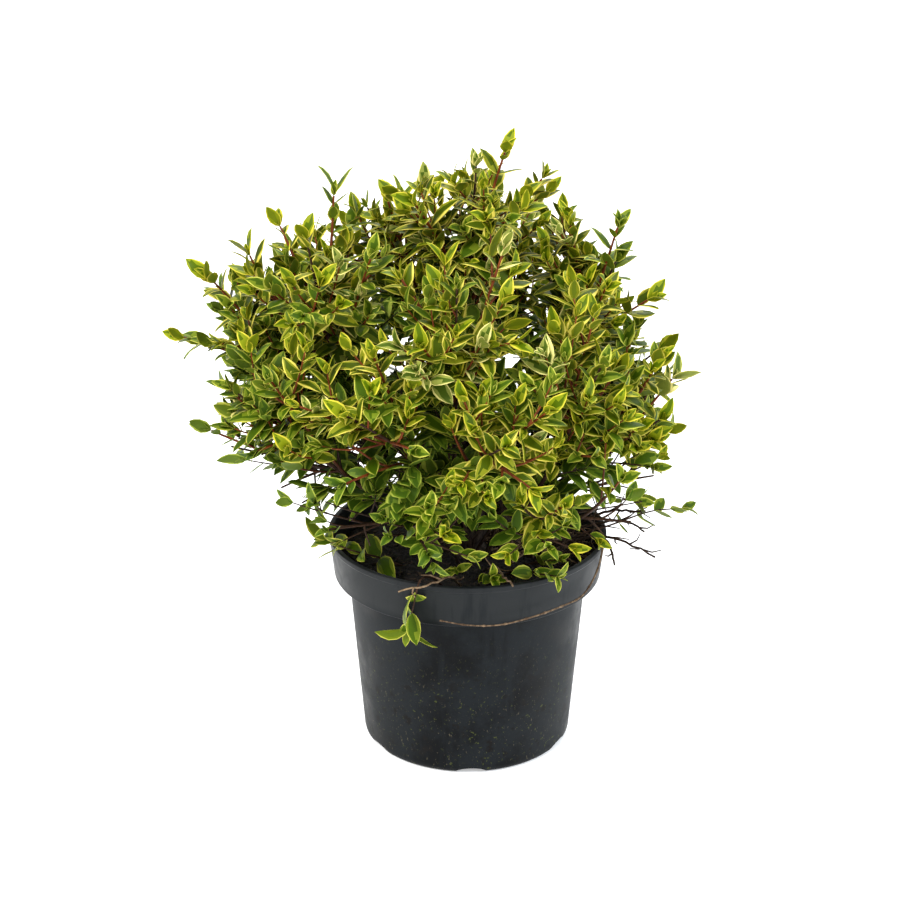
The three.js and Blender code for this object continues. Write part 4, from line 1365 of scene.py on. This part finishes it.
# Each sprig's points by azimuth, distance from the axis and height, the share of it that is leafy, the
# gap between its pairs of leaves, the size of its leaves and how wide its tip opens
LOW_SPRAYS = {
    "low_spray_left": (
        {
            "points": ((206, 55, IN_COMPOST), (212, 83, 175), (210, 109, 187), (200, 122, 190)),
            "leafy": 0.82,
            "gap": 17,
            "leaf": 1.3,
            "open_tip": 30,
        },
    ),
    "low_spray_front_left": (
        {
            "points": (
                (254, 66, IN_COMPOST),
                (252, 92, 178),
                (251, 115, OVER_RIM + 1),
                (250, 125, 168),
                (248, 125, 146),
            ),
            "leafy": 0.36,
            "gap": 16,
            "leaf": 1.4,
            "open_tip": 50,
        },
    ),
    "low_spray_front": (
        {
            "points": ((262, 40, IN_COMPOST), (264, 62, 174), (264, 88, OVER_RIM)),
            "leafy": 0.2,
            "gap": 7,
            "leaf": 0.9,
            "open_tip": 62,
        },
        {
            "points": ((276, 50, IN_COMPOST), (280, 76, 175), (281, 100, 184)),
            "leafy": 0.5,
            "gap": 13,
            "leaf": 0.85,
            "open_tip": 40,
        },
    ),
    "low_spray_front_right": (
        {
            "points": ((308, 52, IN_COMPOST), (303, 84, 176), (301, 112, OVER_RIM), (303, 126, 188)),
            "leafy": 0.5,
            "gap": 14,
            "leaf": 0.85,
            "open_tip": 50,
        },
        {
            "points": ((304, 50, IN_COMPOST), (312, 72, 174), (318, 94, 182)),
            "leafy": 0.5,
            "gap": 14,
            "leaf": 0.85,
        },
    ),
    "low_spray_right": (
        {
            "points": (
                (350, 56, IN_COMPOST),
                (352, 90, 180),
                (354, 118, OVER_RIM + 5),
                (358, 150, 199),
                (359, 176, 201),
            ),
            "leafy": 0.5,
            "gap": 19,
            "leaf": 0.75,
        },
        {
            "points": ((20, 60, IN_COMPOST), (18, 90, 179), (16, 120, OVER_RIM + 4), (14, 148, 194)),
            "leafy": 0.45,
            "gap": 16,
            "leaf": 0.75,
        },
    ),
}


def through(points, steps):
    """A smooth path through points given by azimuth, distance from the axis and height."""
    places = [bearing(azimuth, 0) * radius + UP * height for azimuth, radius, height in points]
    places = [places[0] * 2 - places[1]] + places + [places[-1] * 2 - places[-2]]
    path = []
    for a, b, c, d in zip(places, places[1:], places[2:], places[3:]):
        for step in range(steps):
            t = step / steps
            point = b * 2 + (c - a) * t + (a * 2 - b * 5 + c * 4 - d) * t**2 + (b * 3 - a - c * 3 + d) * t**3
            path.append(point / 2)
    path.append(places[-2])
    return path


low_shoots = []
for number, sprigs in enumerate(LOW_SPRAYS.values()):
    for branch, sprig in enumerate(sprigs):
        path = through(sprig["points"], 6)
        low_roll = dice(LOW_SEED + LOW_SEED_STEP * number + branch)
        low_shoots.append({"path": path, "radii": LOW_RADII})
        tone = "green" if low_roll() < LOW_GREEN else "gold"
        bare = (1 - sprig["leafy"]) * length_of(path)
        open_tip = sprig.get("open_tip", LOW_OPEN_TIP)
        dress(path, low_roll, tone, "green", bare, sprig["gap"], sprig["leaf"], open_tip, below_too=True)

# Leaf pieces
# Each tone's leaves are dealt out over as many pieces as MOST_LEAVES calls for, and one tree grows them
# all. Every leaf has the four waxy colours of its tone.
LEAF_SPECULAR = 0.07
LEAF_ROUGHNESS = (0.3, 0.58)
foliage_nodes = []
for cane in range(CANE_COUNT):
    foliage_nodes += [f"foliage_{cane + 1}_{side}" for side in ("upper", "left", "right")]


def leaf_material(name, colour):
    """A waxy leaf surface: one plain colour, with a sheen that varies and faint puckers between veins."""
    material, tree, shader, place = empty_material(name, 0.45)
    shader.inputs["Base Color"].default_value = (*colour, 1)
    shader.inputs["Specular IOR Level"].default_value = LEAF_SPECULAR
    sheen = spread_of(tree, noise_of(tree, place, 130, 2), *LEAF_ROUGHNESS)
    tree.links.new(sheen, shader.inputs["Roughness"])
    add_relief(tree, shader, noise_of(tree, place, 420, 2), 0.25, 0.5)
    return material


def leaf_piece(name, rows, tone_values):
    """One mesh of leaves that grow at these points."""
    source = mesh_object("leaf_points", [root * MM for root, *_ in rows], [])
    attributes = source.data.attributes
    for name_of_way, column in (("along", 1), ("facing", 2)):
        ways = np.array([tuple(row[column]) for row in rows]).ravel()
        attributes.new(name_of_way, "FLOAT_VECTOR", "POINT").data.foreach_set("vector", ways)
    attributes.new("long", "FLOAT", "POINT").data.foreach_set("value", [row[3] * MM for row in rows])
    attributes.new("kind", "INT", "POINT").data.foreach_set("value", [row[4] for row in rows])
    leaves = grown_mesh(name, source, leaf_tree, tone_values)
    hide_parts(*foliage_nodes, *LOW_SPRAYS)
    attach(leaves, "root")


for tone, colours in LEAF_TONES.items():
    tone_values = {"Kinds": leaf_kinds}
    for zone_name, colour in zip(ZONES, colours):
        tone_values[zone_name.capitalize()] = leaf_material(f"{tone}_leaf_{zone_name}", colour)
    rows = leaf_points[tone]
    pieces = math.ceil(len(rows) / MOST_LEAVES)
    for number in range(pieces):
        leaf_piece(f"leaves_{tone}_{number + 1}", rows[number::pieces], tone_values)

# Dead wood
# A mat of bare broken twigs on the right of the pot, and one dead stem that trails over the rim and
# along under the collar's lip round the front.
DEAD_TWIG_PATHS = (
    ((344, 40, IN_COMPOST), (345, 74, 174), (345, 106, OVER_RIM + 1), (341, 130, 190), (336, 163, 186)),
    ((352, 50, IN_COMPOST), (350, 80, 176), (348, 108, OVER_RIM + 1), (338, 124, 186), (329, 136, 181)),
    ((8, 46, IN_COMPOST), (2, 80, 177), (0, 112, OVER_RIM + 2), (355, 132, 192), (350, 146, 190)),
    ((12, 60, IN_COMPOST), (8, 92, 180), (6, 118, 192), (358, 134, 199), (354, 146, 204)),
    ((330, 52, IN_COMPOST), (334, 74, 170), (338, 90, 178)),
    ((150, 62, 176), (152, 90, 190), (154, 112, 197), (156, 128, 196), (163, 146, 186)),
)
FRONT_TWIG_PATHS = (
    ((296, 34, IN_COMPOST), (288, 70, 178), (285, 106, OVER_RIM + 1), (286, 124, OVER_RIM + 1)),
    ((266, 62, IN_COMPOST), (262, 96, 182), (256, 116, OVER_RIM), (247, 138, 185)),
)
DEAD_TRAILING_PATH = (
    (0, 84, IN_COMPOST),
    (354, 98, 178),
    (346, 112, OVER_RIM - 1),
    (338, 117.5, 184),
    (331, 118, 168),
    (321, 117.5, 156),
    (309, 117.5, 155),
    (295, 117.5, 153),
    (282, 117.5, 150.5),
    (270, 117.5, 151.5),
    (259, 117.5, 154.5),
)
DEAD_RADII = (1.5, 0.8)
FRONT_TWIG_RADII = (1.1, 0.7)
DEAD_SIDE_RADII = (0.85, 0.4)
DEAD_SIDE_TWIGS = 9
FRONT_SIDE_TWIGS = 3
DEAD_SIDE_LONG = (8, 28)
DEAD_SEED = 61
TRAILING_RADII = (0.95, 0.5)
KNOT_EVERY = 17
KNOT_PROUD = 0.45
# How far the dead twigs, the mat and the inner stems are knocked out of line
DEAD_CROOKED = 0.8
MAT_CROOKED = 0.7
INNER_CROOKED = 1.1
MAT_STEMS = 34
MAT_FROM = (-44, 62)
MAT_FROM_OUT = (16, 46)
MAT_TO = (-30, 42)
MAT_TO_OUT = (80, 108)
MAT_LIFT = (3, 19)
MAT_RADII = (1.1, 0.55)
INNER_STEMS = 30
INNER_OUT = (8, 34)
INNER_ELEVATION = (26, 70)
INNER_REACH = (0.34, 0.56)
INNER_RADII = (1.5, 0.7)


def crooked(path, roll, off):
    """The path with each inner point knocked a little out of line, as an old twig runs."""
    rough = [point + Vector((roll() - 0.5, roll() - 0.5, roll() - 0.5)) * 2 * off for point in path[1:-1]]
    return [path[0], *rough, path[-1]]


dead_roll = dice(DEAD_SEED)


def dead_limbs(paths, radii, side_twigs):
    """Crooked bare limbs along these paths, each with short broken twigs on its outer part."""
    limbs = []
    for points in paths:
        limbs.append({"path": crooked(through(points, 5), dead_roll, DEAD_CROOKED), "radii": radii})
    for limb in list(limbs):
        length = length_of(limb["path"])
        for number in range(side_twigs):
            share = 0.3 + 0.66 * (number + dead_roll()) / side_twigs
            root, ahead = at_length(limb["path"], length * share)
            way = tilted(ahead, 40 + 40 * dead_roll(), (number % 2) * 180 + 80 * (dead_roll() - 0.5))
            long = between(DEAD_SIDE_LONG, dead_roll() ** 1.4)
            knee = root + way * long * 0.5
            tip = knee + tilted(way, 34, 360 * dead_roll()) * long * 0.5
            if tip.z > OVER_RIM - 8 or math.hypot(tip.x, tip.y) < COMPOST_EDGE_RADIUS - 6:
                limbs.append({"path": [root, knee, tip], "radii": DEAD_SIDE_RADII})
    return limbs


dead = dead_limbs(DEAD_TWIG_PATHS, DEAD_RADII, DEAD_SIDE_TWIGS)
front_twigs = dead_limbs(FRONT_TWIG_PATHS, FRONT_TWIG_RADII, FRONT_SIDE_TWIGS)

# The trailing stem thickens at each old leaf joint
trailing = [{"path": through(DEAD_TRAILING_PATH, 12), "radii": TRAILING_RADII, "knots": KNOT_PROUD}]

# The mat: last years' stems that lie over the compost from the stool to the rim on the right
mat = []
for _ in range(MAT_STEMS):
    start = bearing(between(MAT_FROM, dead_roll()), 0) * between(MAT_FROM_OUT, dead_roll())
    end = bearing(between(MAT_TO, dead_roll()), 0) * between(MAT_TO_OUT, dead_roll())
    lift = between(MAT_LIFT, dead_roll())
    start.z = compost_height(start.length) + 1
    end.z = min(compost_height(math.hypot(end.x, end.y)) + 2 + 18 * dead_roll(), OVER_RIM + 3)
    bow = (start + end) / 2 + Vector((9 * (dead_roll() - 0.5), 16 * (dead_roll() - 0.5), lift))
    mat.append({"path": crooked(bent(start, bow, end, 8), dead_roll, MAT_CROOKED), "radii": MAT_RADII})

# Thin old stems that rise straight from the compost into the crown, bare for most of their length
inner = []
for number in range(INNER_STEMS):
    azimuth = number * GOLDEN_ANGLE
    start = bearing(azimuth, 0) * between(INNER_OUT, dead_roll())
    start.z = compost_height(start.length) - 2
    way = bearing(azimuth + 50 * (dead_roll() - 0.5), between(INNER_ELEVATION, dead_roll()))
    end = HEART + way * between(INNER_REACH, dead_roll()) * reach(way)
    bow = start.lerp(end, 0.45) + UP * 14 * dead_roll()
    inner.append({"path": crooked(bent(start, bow, end, 9), dead_roll, INNER_CROOKED), "radii": INNER_RADII})

# Wood pieces
# One tree sweeps every stem, shoot and twig along its path. Young shoots are red-brown and darken deep
# in the crown, older wood is brown, and dead wood is grey or straw-coloured. The mat's bark is painted
# paler, as painted light against the shade it lies in under the crown.
BARK_CRACKS = 300
INSIDE_BARK = (0.034, 0.017, 0.01, 1)
# Each bark's colour in its cracks and on its ridges, its roughness and the depth of its relief
BARKS = {
    "young_bark": ((0.1, 0.018, 0.004, 1), (0.24, 0.06, 0.013, 1), 0.5, 0.1),
    "brown_bark": ((0.024, 0.011, 0.006, 1), (0.07, 0.034, 0.018, 1), 0.7, 0.15),
    "dead_bark": ((0.06, 0.035, 0.02, 1), (0.24, 0.16, 0.095, 1), 0.85, 0.15),
    # The mat's bark is the dead bark painted paler, as painted light against the shade it lies in under the
    # crown
    "mat_bark_painted_light": ((0.1, 0.06, 0.034, 1), (0.4, 0.27, 0.16, 1), 0.85, 0.15),
    "dark_bark": ((0.016, 0.009, 0.006, 1), (0.06, 0.034, 0.02, 1), 0.85, 0.15),
}

wood_tree, wood_in, wood_out = new_tree("wood_along_paths", {"Sides": "Int", "Bark": "Material"})
wood_curves = node_of(wood_tree, "GeometryNodeMeshToCurve", {"Mesh": wood_in.outputs["Geometry"]})
wood_section = node_of(
    wood_tree,
    "GeometryNodeCurvePrimitiveCircle",
    {"Resolution": wood_in.outputs["Sides"], "Radius": 1.0},
)
wood_mesh = node_of(
    wood_tree,
    "GeometryNodeCurveToMesh",
    {
        "Curve": wood_curves.outputs[0],
        "Profile Curve": wood_section.outputs[0],
        "Scale": named(wood_tree, "radius", "FLOAT"),
        "Fill Caps": True,
    },
)
wood_smooth = node_of(wood_tree, "GeometryNodeSetShadeSmooth", {"Geometry": wood_mesh.outputs[0]})
give_out(wood_tree, wood_out, wood_smooth, wood_in.outputs["Bark"])


def wood_piece(name, limbs, sides, bark):
    """One piece of joined limbs, each tapering evenly along its path."""
    points = []
    edges = []
    radii = []
    for limb in limbs:
        path = limb["path"]
        run = 0.0
        for number, point in enumerate(path):
            if number:
                edges.append((len(points) - 1, len(points)))
                run += (point - path[number - 1]).length
            points.append(point * MM)
            wave = math.cos(2 * math.pi * run / KNOT_EVERY)
            knot = limb.get("knots", 0.0) * max(0.0, wave) ** KNOT_SHORTNESS
            radii.append((between(limb["radii"], number / (len(path) - 1)) + knot) * MM)
    source = mesh_object(name, points, [], edges)
    source.data.attributes.new("radius", "FLOAT", "POINT").data.foreach_set("value", radii)
    piece = grown_mesh(name, source, wood_tree, {"Sides": sides, "Bark": bark})
    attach(piece, "root")
    return piece


barks = {}
for bark_name, (dark, pale, roughness, deep) in BARKS.items():
    inside = INSIDE_BARK if bark_name == "young_bark" else None
    barks[bark_name] = bark_material(bark_name, dark, pale, roughness, BARK_CRACKS, deep, inside)
brown_shoots = [s for s in shoots if s["brown"] and not (s["bare_below"] and s["order"] > 1)]
leafy = [s for s in shoots if not s["brown"] and not s["bare_below"]]
leafless = [s for s in shoots if s["order"] > 1 and s["bare_below"]]
stems = wood_piece("mass_stems", brown_shoots, 7, barks["brown_bark"])
side_shoots = wood_piece("side_shoots", leafy, 6, barks["young_bark"])
old_twigs = wood_piece("old_bare_twigs", bare_twigs + leafless + inner, 5, barks["dark_bark"])
# The mat and the front twigs take the bark that is painted paler for the shade they lie in
mat_stems = wood_piece("dead_stem_mat", mat + front_twigs, 5, barks["mat_bark_painted_light"])
low_stems = wood_piece("low_stems", low_shoots, 6, barks["brown_bark"])
dead_twigs = wood_piece("dead_twigs", dead, 6, barks["dark_bark"])
dead_trailing = wood_piece("dead_trailing_wood", trailing, 8, barks["dead_bark"])
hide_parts(*foliage_nodes)
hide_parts(*foliage_nodes)
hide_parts(*LOW_SPRAYS)
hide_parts("dead_twigs_right")
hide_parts("dead_trailing_stem")
